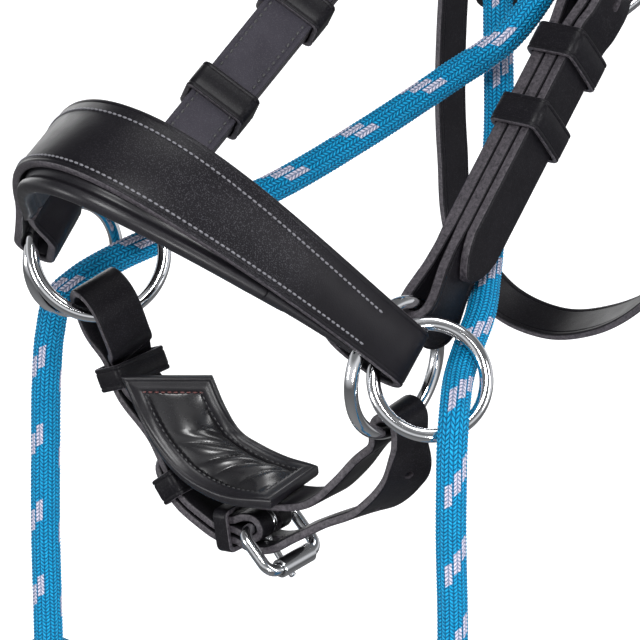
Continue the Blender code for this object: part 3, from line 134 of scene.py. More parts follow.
def softbox(name, place, size, power):
    """A plain white panel of light, turned towards the bridle's middle."""
    data = bpy.data.lights.new(name, "AREA")
    data.shape = "RECTANGLE"
    data.size, data.size_y = size
    data.energy = power
    item = placed(name, data)
    item.location = place
    item.rotation_euler = (Vector(place) - LIGHT_AIM).to_track_quat("Z", "Y").to_euler()


softbox("key", (1.0, -1.5, 1.6), (0.8, 0.8), 48.0)
softbox("side", (1.9, 0.3, 0.5), (0.4, 1.4), 14.0)
softbox("back", (-1.7, 0.7, -0.1), (0.9, 1.1), 7.0)
softbox("top", (0.2, 0.5, 1.6), (1.2, 0.6), 16.0)
softbox("low", (-0.9, -1.9, -0.2), (0.5, 0.5), 13.0)
softbox("streak", (1.75, -1.35, -0.42), (0.45, 0.4), 18.0)


# Cross-under ropes
#
# Each is one round polyester braid, blue with white-pink marker yarns, about 11 mm thick. It comes
# out of its sleeve, crosses behind the jaw, goes through the rein ring of the other side and hangs.
# The length below the picture is folded into a hank that a woven tie holds.
ROPE_D, BRAID_STROKE, ROPE_SIDES = 11.0, 1.5, 40
SLEEVE_BORE = 14.0
HANK_RUN, HANK_HALF, HANK_WAIST, HANK_STEP, HANK_TURNS = 205.0, 17.0, 6.7, 12.4, 2


def hermite(values, apart, counts):
    """Values along a smooth curve through the given ones, with a count of steps for each stretch."""
    last = len(values) - 1
    speeds = []
    for i in range(last + 1):
        before = (values[i] - values[i - 1]) / apart[i - 1] if i else None
        after = (values[i + 1] - values[i]) / apart[i] if i < last else None
        if before is None or after is None:
            speeds.append(after if before is None else before)
        else:
            speeds.append((before * apart[i] + after * apart[i - 1]) / (apart[i] + apart[i - 1]))
    out = []
    for i in range(last):
        start, end = speeds[i] * apart[i], speeds[i + 1] * apart[i]
        for k in range(counts[i]):
            t = k / counts[i]
            out.append((2 * t ** 3 - 3 * t * t + 1) * values[i] + (t ** 3 - 2 * t * t + t) * start
                       + (3 * t * t - 2 * t ** 3) * values[i + 1] + (t ** 3 - t * t) * end)
    out.append(values[-1])
    return out


def smooth_line(points, step=1.5):
    points = [Vector(p) for p in points]
    apart = [max((q - p).length, 1e-6) for p, q in zip(points[:-1], points[1:])]
    return hermite(points, apart, [max(2, math.ceil(d / step)) for d in apart])


def square_to(direction, way):
    """The unit direction square to a way, nearest to the given one."""
    return (direction - direction.dot(way) * way).normalized()


def lengths_along(path):
    """How far along a line each of its points lies."""
    gone = [0.0]
    for a, b in zip(path[:-1], path[1:]):
        gone.append(gone[-1] + (b - a).length)
    return gone


def directions_of(path, closed=False):
    """The unit direction of a line at each of its points."""
    count = len(path)
    out = []
    for i in range(count):
        before = path[(i - 1) % count] if closed or i else path[0]
        after = path[(i + 1) % count] if closed or i < count - 1 else path[-1]
        out.append((after - before).normalized())
    return out


def smooth_outside(mesh, sharp):
    """Turn the faces outwards, and shade them smooth up to an angle between them."""
    bm = bmesh.new()
    bm.from_mesh(mesh)
    bmesh.ops.recalc_face_normals(bm, faces=bm.faces)
    bm.to_mesh(mesh)
    bm.free()
    mesh.shade_smooth()
    mesh.set_sharp_from_angle(angle=math.radians(sharp))


def solid_of(name, rings, materials, closed=False, caps=True, slots=None, uvs=None, sharp=50.0):
    """An object from rings of points in millimetres. slots gives each side face's material, and uvs
    the places of its corners."""
    count, around = len(rings), len(rings[0])
    verts = [p * MM for ring in rings for p in ring]
    faces, face_slots, face_uvs = [], [], []
    for i in range(count if closed else count - 1):
        j = (i + 1) % count
        for k in range(around):
            m = (k + 1) % around
            faces.append((i * around + k, i * around + m, j * around + m, j * around + k))
            face_slots.append(slots[k] if slots else 0)
            if uvs:
                face_uvs += [uvs(i, k), uvs(i, k + 1), uvs(i + 1, k + 1), uvs(i + 1, k)]
    if not closed and caps:
        faces.append(tuple(reversed(range(around))))
        faces.append(tuple((count - 1) * around + k for k in range(around)))
        end_slot = max(slots) if slots else 0
        face_slots += [end_slot, end_slot]
        if uvs:
            face_uvs += [uvs(0, k) for k in reversed(range(around))]
            face_uvs += [uvs(count - 1, k) for k in range(around)]
    mesh = bpy.data.meshes.new(name)
    mesh.from_pydata(verts, [], faces)
    for material in materials:
        mesh.materials.append(material)
    mesh.polygons.foreach_set("material_index", face_slots)
    if uvs:
        layer = mesh.uv_layers.new(name="UVMap")
        layer.data.foreach_set("uv", [c for uv in face_uvs for c in uv])
    smooth_outside(mesh, sharp)
    return placed(name, mesh)


def tube_rings(path, radius, around, closed=False, start_side=None):
    """Rings of a round section swept without twisting. radius is one number, or one for each point."""
    along = directions_of(path, closed)
    side = Vector(start_side) if start_side else along[0].orthogonal()
    rings = []
    for i, point in enumerate(path):
        side = square_to(side, along[i])
        out = along[i].cross(side)
        r = radius[i] if isinstance(radius, list) else radius
        rings.append([point + r * (math.cos(a) * side + math.sin(a) * out)
                      for a in (2 * math.pi * k / around for k in range(around))])
    return rings


def feed(tree, socket, value):
    """Link a node's output to a socket, or set the socket's own number or colour."""
    if isinstance(value, (int, float, tuple)):
        socket.default_value = value
    else:
        tree.links.new(value, socket)


def dress(tree, shader, values):
    """Feed a shader's sockets by name."""
    for name, value in values.items():
        feed(tree, shader.inputs[name], value)


def node_maker(tree):
    """A short way to add nodes: sums by name, and any other node by its type."""
    def maths(operation, a, b=None, c=None):
        node = tree.nodes.new("ShaderNodeMath")
        node.operation = operation
        for socket, value in zip(node.inputs, (a, b, c)):
            if value is not None:
                feed(tree, socket, value)
        return node.outputs[0]

    def blend(share, low, high):
        node = tree.nodes.new("ShaderNodeMix")
        node.data_type = "RGBA"
        for socket, value in ((node.inputs[0], share), (node.inputs[6], low), (node.inputs[7], high)):
            feed(tree, socket, value)
        return node.outputs[2]

    def noise(scale, detail=2.0, rough=0.5, coords=None):
        node = tree.nodes.new("ShaderNodeTexNoise")
        node.inputs["Scale"].default_value = scale
        node.inputs["Detail"].default_value = detail
        node.inputs["Roughness"].default_value = rough
        tree.links.new(coords or tree.nodes["where"].outputs["Object"], node.inputs["Vector"])
        return node.outputs["Fac"]

    def bump(height, strength, depth, onto=None):
        node = tree.nodes.new("ShaderNodeBump")
        node.inputs["Strength"].default_value = strength
        node.inputs["Distance"].default_value = depth * MM
        tree.links.new(height, node.inputs["Height"])
        if onto:
            tree.links.new(onto, node.inputs["Normal"])
        return node.outputs["Normal"]

    where = tree.nodes.new("ShaderNodeTexCoord")
    where.name = "where"
    return maths, blend, noise, bump


def braid_material(name):
    """Herringbone of twenty yarn columns round the rope, with marker yarns in steps, and painted shade that
    darkens the colour in the crevices between strokes.
    """
    material, tree, shader = plain_material(name)
    maths, blend, noise, bump = node_maker(tree)
    split = tree.nodes.new("ShaderNodeSeparateXYZ")
    tree.links.new(tree.nodes["where"].outputs["UV"], split.inputs[0])
    around, along = split.outputs[0], split.outputs[1]
    column = maths("MULTIPLY", around, 20.0)
    inside = maths("FRACT", column)
    lean = maths("SUBTRACT", 1.0, maths("MULTIPLY", maths("MODULO", maths("FLOOR", column), 2.0), 2.0))
    wobble = maths("MULTIPLY", maths("SUBTRACT", noise(900.0), 0.5), 0.5)
    phase = maths("ADD", maths("MULTIPLY", along, 1 / 0.00150), maths("MULTIPLY", lean,
                  maths("MULTIPLY", maths("SUBTRACT", inside, 0.5), 0.95)))
    phase = maths("ADD", phase, wobble)
    stroke = maths("POWER", maths("ABSOLUTE", maths("SINE", maths("MULTIPLY", phase, math.pi))), 0.6)
    rib = maths("POWER", maths("SINE", maths("MULTIPLY", inside, math.pi)), 0.45)
    height = maths("MULTIPLY", stroke, rib)
    pair = maths("MULTIPLY", around, 10.0)
    across_pair = maths("FRACT", pair)
    place = maths("MODULO", maths("FLOOR", pair), 5.0)
    marked = maths("LESS_THAN", place, 2.5)
    slanted = maths("SUBTRACT", along, maths("MULTIPLY", across_pair, 0.0022))
    step = maths("SUBTRACT", slanted, maths("MULTIPLY", place, 0.0049))
    run = maths("FRACT", maths("ADD", maths("MULTIPLY", step, 1 / 0.031), 40.0))
    marked = maths("MULTIPLY", marked,
                   maths("LESS_THAN", maths("ABSOLUTE", maths("SUBTRACT", across_pair, 0.5)), 0.40))
    fleck = maths("MULTIPLY", marked, maths("LESS_THAN", run, 0.27))
    tone = noise(260.0, 3.0)
    blue = blend(tone, (0.002, 0.245, 0.500, 1.0), (0.005, 0.340, 0.620, 1.0))
    # Painted shade: the blue darkens towards the crevices between strokes, where the yarns shade one another.
    blue = blend(maths("POWER", height, 1.1), (0.0004, 0.035, 0.110, 1.0), blue)
    pale = blend(noise(700.0), (0.66, 0.62, 0.70, 1.0), (0.44, 0.40, 0.52, 1.0))
    # Painted shade: the marker yarns also darken to deep blue in their crevices.
    pale = blend(height, (0.06, 0.14, 0.26, 1.0), pale)
    dress(tree, shader, {
        "Base Color": blend(fleck, blue, pale),
        "Roughness": maths("ADD", 0.42, maths("MULTIPLY", maths("SUBTRACT", 1.0, height), 0.3)),
        "Normal": bump(height, 1.0, 0.6), "Specular IOR Level": 0.15})
    return material


rope_braid = braid_material("rope_braid")


def hank_points(top):
    """Long turns that the tie draws in at the waist. The rope's end hangs out below."""
    half = HANK_RUN / 2
    centre = top + Vector((-HANK_HALF, 0.0, -ROPE_D * 1.2 - half))
    points = [Vector(top), top - Vector((0.0, 0.0, ROPE_D * 0.6))]

    def spread(z):
        return HANK_WAIST + (HANK_HALF - HANK_WAIST) * (abs(z) / half) ** 2

    shares = [1.0 - k / 4 for k in range(9)]
    climb = 0.0
    for turn in range(HANK_TURNS + 1):
        points += [centre + Vector((spread(half * f), climb, half * f)) for f in shares]
        if turn == HANK_TURNS:
            break
        for k in range(1, 5):
            angle = math.pi * k / 5
            points.append(centre + Vector((HANK_HALF * math.cos(angle), climb,
                                           -half - HANK_HALF * math.sin(angle))))
        for index, share in enumerate(reversed(shares)):
            points.append(centre + Vector((-spread(half * share), climb + HANK_STEP * index / 8,
                                           half * share)))
        climb += HANK_STEP
        for k in range(1, 5):
            angle = math.pi * k / 5
            points.append(centre + Vector((-HANK_HALF * math.cos(angle), climb,
                                           half + HANK_HALF * math.sin(angle))))
    last = points[-1]
    return points + [last + Vector((0.6, 0.0, -14.0)), last + Vector((0.6, 0.0, -26.0))]


FAR_MOUTH, FAR_WAY_OUT = hung(44.5, 126.0, 88.0), Vector((-0.1, -0.66, -0.74)).normalized()
FAR_ROUTE = [hung(*p) for p in (
    (40.0, 112.0, 73.0), (21.5, 97.8, 54.3), (-2.0, 81.3, 32.5), (-25.7, 62.6, 12.5), (-59.2, 34.3, -9.0),
    (-70.6, 22.2, -16.4), (-80.7, 11.2, -25.1), (-86.2, 7.0, -32.2), (-88.1, 4.2, -45.2), (-88.7, 2.6, -62.0),
    (-88.9, 1.5, -92.3), (-89.0, 0.8, -125.5), (-89.0, 1.2, -160.0), (-89.0, 1.6, -196.0))]
NEAR_MOUTH, NEAR_WAY_OUT = hung(15.0, 136.5, 72.0), Vector((0.50, -0.62, -0.60)).normalized()
NEAR_ROUTE = [hung(*p) for p in (
    (42.0, 103.5, 33.7), (58.3, 79.6, 17.5), (73.1, 58.2, 5.2), (84.0, 41.4, -0.7), (89.8, 28.2, -5.5),
    (97.1, 13.2, -11.4), (104.0, 3.0, -15.2), (107.9, -2.7, -19.5), (109.8, -5.7, -27.0),
                                 (110.6, -6.9, -42.0),
    (110.5, -6.8, -58.8), (110.5, -5.6, -90.0), (110.5, -5.0, -128.0))]


def evenly(path, step):
    """The same line with a point at every step along it."""
    out, left = [path[0]], step
    for a, b in zip(path[:-1], path[1:]):
        long = (b - a).length
        while left <= long:
            out.append(a.lerp(b, left / long))
            left += step
        left -= long
    return out


def make_rope(name, mouth, way, route, turn, nodes):
    """The braid from inside its sleeve to inside its end cap, as one tube of even rings."""
    start = mouth - (SLEEVE_BORE - 0.3) * way
    run = smooth_line([start, start + 7.0 * way, mouth + 4.0 * way] + route, 1.1)
    points = hank_points(run[-1] - Vector((0.0, 0.0, 0.3)))
    run = evenly(run, BRAID_STROKE / 2)
    path = run + smooth_line(points[1:], 2.2)
    gone = lengths_along(path)
    first = Vector((math.cos(turn), math.sin(turn), 0.0))
    rings = tube_rings(path, ROPE_D / 2, ROPE_SIDES, start_side=first)
    for i in range(len(run)):
        stroke_dip = 0.24 * (1.0 - abs(math.sin(math.pi * gone[i] / BRAID_STROKE))) - 0.07
        for k in range(ROPE_SIDES):
            dip = 0.30 if k % 2 == 0 else stroke_dip
            rings[i][k] = rings[i][k] + dip * (path[i] - rings[i][k]).normalized()
    item = solid_of(name, rings, [rope_braid], uvs=lambda i, k: (k / ROPE_SIDES, gone[i] * MM), sharp=80)
    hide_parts(*nodes)
    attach(item, "bridle")
    return item, path, gone[-1]


far_rope, far_path, far_length = make_rope(
    "braided_rope_far", FAR_MOUTH, FAR_WAY_OUT, FAR_ROUTE, 2.2, ("rope_far", "rope_hank_far"))
near_rope, near_path, near_length = make_rope(
    "braided_rope_near", NEAR_MOUTH, NEAR_WAY_OUT, NEAR_ROUTE, 0.4, ("rope_near", "rope_hank_near"))
[tuple(p * MM) for p in far_path]
[tuple(p * MM) for p in near_path]


# Rings
#
# Four welded rings of 5 mm stainless wire, polished. The two larger ones carry the cheekpieces and
# the chin strap, and the smaller ones guide the ropes.
def steel_material(name, base, rough, wear):
    """Polished steel with fine rubbed scratches and faint dull patches."""
    material, tree, shader = plain_material(name)
    maths, blend, noise, bump = node_maker(tree)
    patches = noise(55.0, 4.0, 0.6)
    dress(tree, shader, {
        "Base Color": blend(patches, base, tuple(c * 0.86 for c in base[:3]) + (1.0,)),
        "Roughness": maths("ADD", rough, maths("MULTIPLY", noise(380.0, 5.0, 0.65), wear)),
        "Normal": bump(noise(1400.0, 3.0, 0.7), 0.06, 0.03), "Metallic": 1.0})
    return material


ring_steel = steel_material("ring_steel", (0.86, 0.87, 0.89, 1.0), 0.03, 0.10)
WIRE_R, REIN_RING_R, CHIN_RING_R = 2.5, 20.0, 24.0


class Ring:
    """Where a ring hangs: its centre and axis, and the point of its wire at a direction."""

    def __init__(self, node, centre, normal, radius):
        self.node, self.centre, self.normal, self.radius = node, centre, normal, radius

    def wire(self, towards):
        return self.centre + self.radius * square_to(towards, self.normal)


TURNED_OUT = head_dir(0.597, 0.802, 0.0)
CHIN_NEAR = Ring("chin_ring_near", head(73.8, -12.4, -3.0), SIDE, CHIN_RING_R)
REIN_NEAR = Ring("rein_ring_near", head(91.2, -10.5, -3.4), TURNED_OUT, REIN_RING_R)
CHIN_FAR = Ring("chin_ring_far", head(-60.0, -2.2, -2.0), TURNED_OUT, CHIN_RING_R)
REIN_FAR = Ring("rein_ring_far", head(-80.7, -16.8, -3.0), head_dir(0.965, 0.25, 0.0), REIN_RING_R)

for ring in (CHIN_NEAR, REIN_NEAR, CHIN_FAR, REIN_FAR):
    first = ring.normal.orthogonal().normalized()
    second = ring.normal.cross(first)
    circle = [ring.centre + ring.radius * (math.cos(a) * first + math.sin(a) * second)
              for a in (2 * math.pi * k / 144 for k in range(144))]
    item = solid_of(ring.node + "_wire", tube_rings(circle, WIRE_R, 28, True, ring.normal), [ring_steel],
                    True, sharp=80)
    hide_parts(ring.node)
    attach(item, ring.node)


# Noseband
#
# A broad band of black bridle leather, cut wider over the nose, with a stitched row along each edge.
# Its ends are folded back round the ring wires and sewn down behind.
NOSE_T, NOSE_SPREAD, NOSE_REACH, NOSE_END_W, NOSE_MID_W = 3.5, 172.0, 106.0, 21.6, 35.0
PAD_BELOW, PAD_ABOVE, NOSE_RISE, NOSE_KICK = 7.0, 1.6, 4.5, 0.40
NOSE_FLARE, NOSE_FLARE_REACH, LOOP_SLOT, LOOP_OVER = 9.0, 50.0, 10.1, (7.5, 5.0)


def leather_material(name, tone=1.0, rough=0.36, grain=1.0, speck=0.6, gloss=0.12, dry_from=None):
    """Waxed black leather: fine pores, soft creases, a dull bloom in patches. dry_from is where its
    grain starts to show pale along the noseband."""
    material, tree, shader = plain_material(name)
    maths, blend, noise, bump = node_maker(tree)
    pores = tree.nodes.new("ShaderNodeTexVoronoi")
    pores.inputs["Scale"].default_value = 1500.0
    tree.links.new(tree.nodes["where"].outputs["Object"], pores.inputs["Vector"])
    fine = maths("ADD", maths("MULTIPLY", pores.outputs["Distance"], 0.7),
                 maths("MULTIPLY", noise(2600.0, 2.0), 0.6))
    wide = noise(75.0, 4.0, 0.55)
    low = (0.0040 * tone, 0.0036 * tone, 0.0050 * tone, 1.0)
    high = (0.0105 * tone, 0.0098 * tone, 0.0125 * tone, 1.0)
    colour = blend(wide, low, high)
    sparkle = maths("MULTIPLY", maths("GREATER_THAN", noise(2300.0, 1.0), 0.60), speck)
    if dry_from is not None:
        split = tree.nodes.new("ShaderNodeSeparateXYZ")
        tree.links.new(tree.nodes["where"].outputs["Object"], split.inputs[0])
        dry = maths("MULTIPLY", maths("SUBTRACT", split.outputs[0], dry_from * MM), 1 / 0.05)
        worn = maths("MULTIPLY", maths("SUBTRACT", 0.069, split.outputs[0]), 1 / 0.009)
        dry = maths("MAXIMUM", maths("MINIMUM", maths("MINIMUM", dry, worn), 1.0), 0.0)
        sparkle = maths("MULTIPLY", sparkle, dry)
    soft = bump(noise(190.0, 3.0), 0.14, 0.5)
    dress(tree, shader, {
        "Base Color": blend(maths("MULTIPLY", sparkle, 0.5), colour, (0.115, 0.112, 0.125, 1.0)),
        "Roughness": maths("ADD", rough, maths("MULTIPLY", noise(140.0, 3.0), 0.16)),
        "Normal": bump(fine, 0.20 * grain, 0.14, soft), "Specular IOR Level": gloss})
    return material


def edge_material(name):
    """The cut edge of a strap: dyed fibres, rubbed with wax, a little grey along the middle."""
    material, tree, shader = plain_material(name)
    maths, blend, noise, bump = node_maker(tree)
    fibre = noise(900.0, 6.0, 0.78)
    rubbed = maths("MINIMUM", maths("MAXIMUM", maths("MULTIPLY", maths("SUBTRACT", fibre, 0.36), 3.0), 0.0),
                   1.0)
    dress(tree, shader, {
        "Base Color": blend(rubbed, (0.005, 0.004, 0.007, 1.0), (0.088, 0.078, 0.090, 1.0)),
        "Normal": bump(fibre, 0.5, 0.3), "Roughness": 0.5})
    return material


def thread_material(name, tone):
    """Waxed linen thread with its twist."""
    material, tree, shader = plain_material(name)
    _, blend, noise, bump = node_maker(tree)
    twist = noise(1900.0, 2.0)
    dress(tree, shader, {
        "Base Color": blend(twist, tuple(c * 0.55 for c in tone) + (1.0,), tone + (1.0,)),
        "Normal": bump(twist, 0.4, 0.15), "Roughness": 0.42})
    return material


nose_leather_finish = leather_material("nose_leather", 0.9, 0.33, 1.0, 0.5, dry_from=-15.0)
strap_leather = leather_material("strap_leather", 0.75, 0.31, 0.8, 0.15)
leather_edge = edge_material("leather_edge")
# The noseband's thread is dark. Its pale grey colour is a painted highlight that stands for the glints along
# its stitches.
glint_grey_thread = thread_material("glint_grey_thread", (0.17, 0.17, 0.19))
black_thread = thread_material("black_thread", (0.045, 0.045, 0.048))


CREASE_HALF, CREASE_DIP = 0.55, 0.28


def strap_section(width, thick, soft=1.0, crease=0.0):
    """(a, b) once round a strap: rounded corners, and a pressed crease inside each edge."""
    w, t = width / 2, thick / 2
    r = min(soft, 0.92 * t, 0.45 * w)
    out = []
    for sa, sb, first in ((1, 1, 0), (-1, 1, 1), (-1, -1, 2), (1, -1, 3)):
        for k in range(5):
            turn = math.pi / 2 * (first + k / 4)
            out.append((sa * (w - r) + r * math.cos(turn), sb * (t - r) + r * math.sin(turn)))
        if first in (0, 2) and crease > 0.0 and w > crease + 2.0:
            for f in (sa, -sa):
                middle = f * (w - crease)
                out += [(middle + sa * CREASE_HALF, sb * t), (middle, sb * (t - CREASE_DIP)),
                        (middle - sa * CREASE_HALF, sb * t)]
    return out


def value_at(value, i):
    """A value that is one for the whole strap, or one for each point."""
    return value[i] if isinstance(value, list) else value


def strap_rings(path, across, width, thick, soft=1.0, crease=0.0, closed=False):
    """Rings of a strap's section along the middle of its thickness."""
    along = directions_of(path, closed)
    rings = []
    for i, point in enumerate(path):
        side = square_to(value_at(across, i), along[i])
        out = side.cross(along[i])
        rings.append([point + a * side + b * out
                      for a, b in strap_section(value_at(width, i), value_at(thick, i), soft, crease)])
    return rings


def strap_frames(path, across, inside):
    """Width and outward directions at each point of a strap that goes round a place inside it."""
    frames = []
    for p, way, wide in zip(path, directions_of(path), across):
        side = square_to(wide, way)
        out = side.cross(way)
        frames.append((side, -out if out.dot(p - inside) < 0.0 else out))
    return frames


def section_slots(width, thick, soft, crease):
    """1 for the faces of a strap's cut edges, 0 for the rest."""
    section = strap_section(width, thick, soft, crease)
    slots = []
    for k in range(len(section)):
        a, b = section[k]
        c, d = section[(k + 1) % len(section)]
        slots.append(1 if abs(a + c) / 2 > width / 2 - 0.45 * soft and abs(b + d) / 2 < 0.36 * thick else 0)
    return slots


def make_strap(name, path, across, width, thick, finish=None, soft=1.0, crease=2.2, closed=False):
    width_0 = max(width) if isinstance(width, list) else width
    if isinstance(width, list) and min(width) < 2 * crease + 5.0:
        crease = 0.0
    rings = strap_rings(path, across, width, thick, soft, crease, closed)
    slots = section_slots(width_0, value_at(thick, 0), soft, crease)
    return solid_of(name, rings, [finish or strap_leather, leather_edge], closed, True, slots)


def evened(path, across, widths, step=1.4, passes=2):
    """The same line with even spacing and no kinks where its parts join."""
    gone = lengths_along(path)
    count = max(int(gone[-1] / step), 4)
    new_path, new_across, new_widths = [], [], []
    j = 0
    for i in range(count + 1):
        s = gone[-1] * i / count
        while j < len(gone) - 2 and gone[j + 1] < s:
            j += 1
        f = (s - gone[j]) / max(gone[j + 1] - gone[j], 1e-9)
        new_path.append(path[j].lerp(path[j + 1], f))
        new_across.append(across[j].lerp(across[j + 1], f).normalized())
        new_widths.append(widths[j] + (widths[j + 1] - widths[j]) * f)
    for _ in range(passes):
        new_path = [new_path[0]] + [0.25 * a + 0.5 * b + 0.25 * c for a, b, c in
                                    zip(new_path[:-2], new_path[1:-1], new_path[2:])] + [new_path[-1]]
        new_across = [new_across[0]] + [(0.25 * a + 0.5 * b + 0.25 * c).normalized() for a, b, c in
                                        zip(new_across[:-2], new_across[1:-1],
                                            new_across[2:])] + [new_across[-1]]
    return new_path, new_across, new_widths


def stitch_tree():
    """Geometry Nodes: a stitch at even spaces along a line, lying along it."""
    tree = bpy.data.node_groups.new("stitch_row", "GeometryNodeTree")
    face = tree.interface
    face.new_socket("Line", in_out="INPUT", socket_type="NodeSocketGeometry")
    for label, value in (("Pitch", 2.4 * MM), ("Stitch length", 1.9 * MM), ("Thread", 0.4 * MM)):
        face.new_socket(label, in_out="INPUT", socket_type="NodeSocketFloat").default_value = value
    face.new_socket("Finish", in_out="INPUT", socket_type="NodeSocketMaterial")
    face.new_socket("Stitches", in_out="OUTPUT", socket_type="NodeSocketGeometry")
    add, link = tree.nodes.new, tree.links.new
    source, result = add("NodeGroupInput"), add("NodeGroupOutput")
    line = add("GeometryNodeMeshToCurve")
    points = add("GeometryNodeCurveToPoints")
    points.mode = "LENGTH"
    turn = add("FunctionNodeAlignRotationToVector")
    turn.axis = "X"
    bead = add("GeometryNodeMeshUVSphere")
    bead.inputs["Segments"].default_value = 8
    bead.inputs["Rings"].default_value = 6
    bead.inputs["Radius"].default_value = 1.0
    size = add("ShaderNodeCombineXYZ")
    half = add("ShaderNodeMath")
    half.operation = "MULTIPLY"
    half.inputs[1].default_value = 0.5
    place, real = add("GeometryNodeInstanceOnPoints"), add("GeometryNodeRealizeInstances")
    paint, smooth = add("GeometryNodeSetMaterial"), add("GeometryNodeSetShadeSmooth")
    link(source.outputs["Line"], line.inputs["Mesh"])
    link(line.outputs["Curve"], points.inputs["Curve"])
    link(source.outputs["Pitch"], points.inputs["Length"])
    link(points.outputs["Tangent"], turn.inputs["Vector"])
    link(points.outputs["Points"], place.inputs["Points"])
    link(bead.outputs["Mesh"], place.inputs["Instance"])
    link(turn.outputs["Rotation"], place.inputs["Rotation"])
    link(source.outputs["Stitch length"], half.inputs[0])
    link(half.outputs[0], size.inputs[0])
    link(source.outputs["Thread"], size.inputs[1])
    link(source.outputs["Thread"], size.inputs[2])
    link(size.outputs[0], place.inputs["Scale"])
    link(place.outputs["Instances"], real.inputs["Geometry"])
    link(real.outputs["Geometry"], smooth.inputs["Geometry"])
    link(smooth.outputs["Geometry"], paint.inputs["Geometry"])
    link(source.outputs["Finish"], paint.inputs["Material"])
    link(paint.outputs["Geometry"], result.inputs["Stitches"])
    return tree


stitch_row = stitch_tree()


def sew(name, lines, finish, body="bridle", pitch=2.4, length=1.9, thread=0.4):
    """Stitches along lines of points, made by the tree and kept as a plain mesh."""
    verts, edges = [], []
    for line in lines:
        base = len(verts)
        verts += [p * MM for p in line]
        edges += [(base + i, base + i + 1) for i in range(len(line) - 1)]
    mesh = bpy.data.meshes.new(name + "_line")
    mesh.from_pydata(verts, edges, [])
    guide = placed(name + "_line", mesh)
    step = guide.modifiers.new("stitches", "NODES")
    step.node_group = stitch_row
    values = {"Pitch": pitch * MM, "Stitch length": length * MM, "Thread": thread * MM, "Finish": finish}
    for socket in stitch_row.interface.items_tree:
        if socket.in_out == "INPUT" and socket.name in values:
            step[socket.identifier] = values[socket.name]
    graph = bpy.context.evaluated_depsgraph_get()
    made = bpy.data.meshes.new_from_object(guide.evaluated_get(graph))
    bpy.data.objects.remove(guide, do_unlink=True)
    made.name = name
    item = placed(name, made)
    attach(item, body)


def nose_spot(x, v):
    """A point on the noseband's outer face: x across the face, v from -1 at its upper edge
    to +1 at the lower edge of its lining."""
    half = NOSE_SPREAD / 2
    fall = max(1.0 - (x / half) ** 2, 0.0)
    width = NOSE_END_W + (NOSE_MID_W + PAD_BELOW + PAD_ABOVE - NOSE_END_W) * fall ** 1.5
    d = fall * (NOSE_REACH + NOSE_KICK * v * width / 2)
    flare = 0.0
    if x < 0.0 and d < NOSE_FLARE_REACH:
        flare = -NOSE_FLARE * (1.0 - d / NOSE_FLARE_REACH) ** 1.5
    lean_in = 1.0 - 0.15 * v * width / NOSE_SPREAD * fall
    return Vector((x * lean_in + flare, d, NOSE_RISE * fall - v * width / 2))


def nose_frame(x):
    top, low, middle = nose_spot(x, -1.0), nose_spot(x, 1.0), nose_spot(x, 0.0)
    ahead = nose_spot(min(x + 0.5, NOSE_SPREAD / 2), 0.0)
    behind = nose_spot(max(x - 0.5, -NOSE_SPREAD / 2), 0.0)
    down = (low - top).normalized()
    inward = down.cross((ahead - behind).normalized()).normalized()
    return middle, down, (-inward if inward.y > 0.0 else inward)


def nose_share(x):
    return max(1.0 - (2 * x / NOSE_SPREAD) ** 2, 0.0) ** 1.5


def nose_at(sign, s, inward_by):
    """A point at a distance along the outer face from the band's end, and a depth behind it."""
    x, gone = sign * NOSE_SPREAD / 2, 0.0
    here = nose_spot(x, 0.0)
    while gone < s:
        x -= sign * 0.1
        ahead = nose_spot(x, 0.0)
        gone += (ahead - here).length
        here = ahead
    return here + inward_by * nose_frame(x - sign * 0.6)[2]


def nose_end_loop(sign):
    """The band folded back round the ring wires, from the fold to its sewn end."""
    corner = nose_spot(sign * NOSE_SPREAD / 2, 0.0)
    up = nose_spot(sign * NOSE_SPREAD / 2 * 0.97, 0.0) - corner
    up = Vector((up.x, up.y, 0.0)).normalized()
    inward = Vector((-sign * abs(up.y), -abs(up.x), 0.0))
    mid, radius = NOSE_T + LOOP_SLOT / 2, LOOP_SLOT / 2 + NOSE_T / 2
    s_arc = mid - (LOOP_OVER[0] if sign > 0 else LOOP_OVER[1])
    points = [corner + (s_arc - radius * math.sin(math.pi * k / 20)) * up
              + (mid - radius * math.cos(math.pi * k / 20)) * inward for k in range(1, 20)]
    reach = 19.5 if sign > 0 else 23.0
    last = 1.5 * NOSE_T + 0.5
    tail = [corner + s_arc * up + (mid + radius) * inward,
            corner + 0.5 * (s_arc + reach) * up + (mid + radius) * inward,
            nose_at(sign, reach, mid + radius - 0.3), nose_at(sign, reach + 8.0, 0.5 * (mid + radius + last)),
            nose_at(sign, reach + 15.0, last + 0.6), nose_at(sign, reach + 21.0, last)]
    return points + smooth_line(tail, 1.5)


def from_head(v):
    return head(v.x, v.y, v.z)


def nose_line(count, reach=0.965):
    """The leather's middle, width directions and widths from the near end to the far one."""
    path, across, widths, shares = [], [], [], []
    for i in range(count + 1):
        x = reach * NOSE_SPREAD / 2 * math.cos(math.pi * i / count)
        middle, down, inward = nose_frame(x)
        share = nose_share(x)
        path.append(from_head(middle + (PAD_ABOVE - PAD_BELOW) / 2 * share * down + NOSE_T / 2 * inward))
        across.append(head_dir(down.x, down.y, down.z))
        widths.append(NOSE_END_W + (NOSE_MID_W - NOSE_END_W) * share)
        shares.append(share)
    return path, across, widths, shares


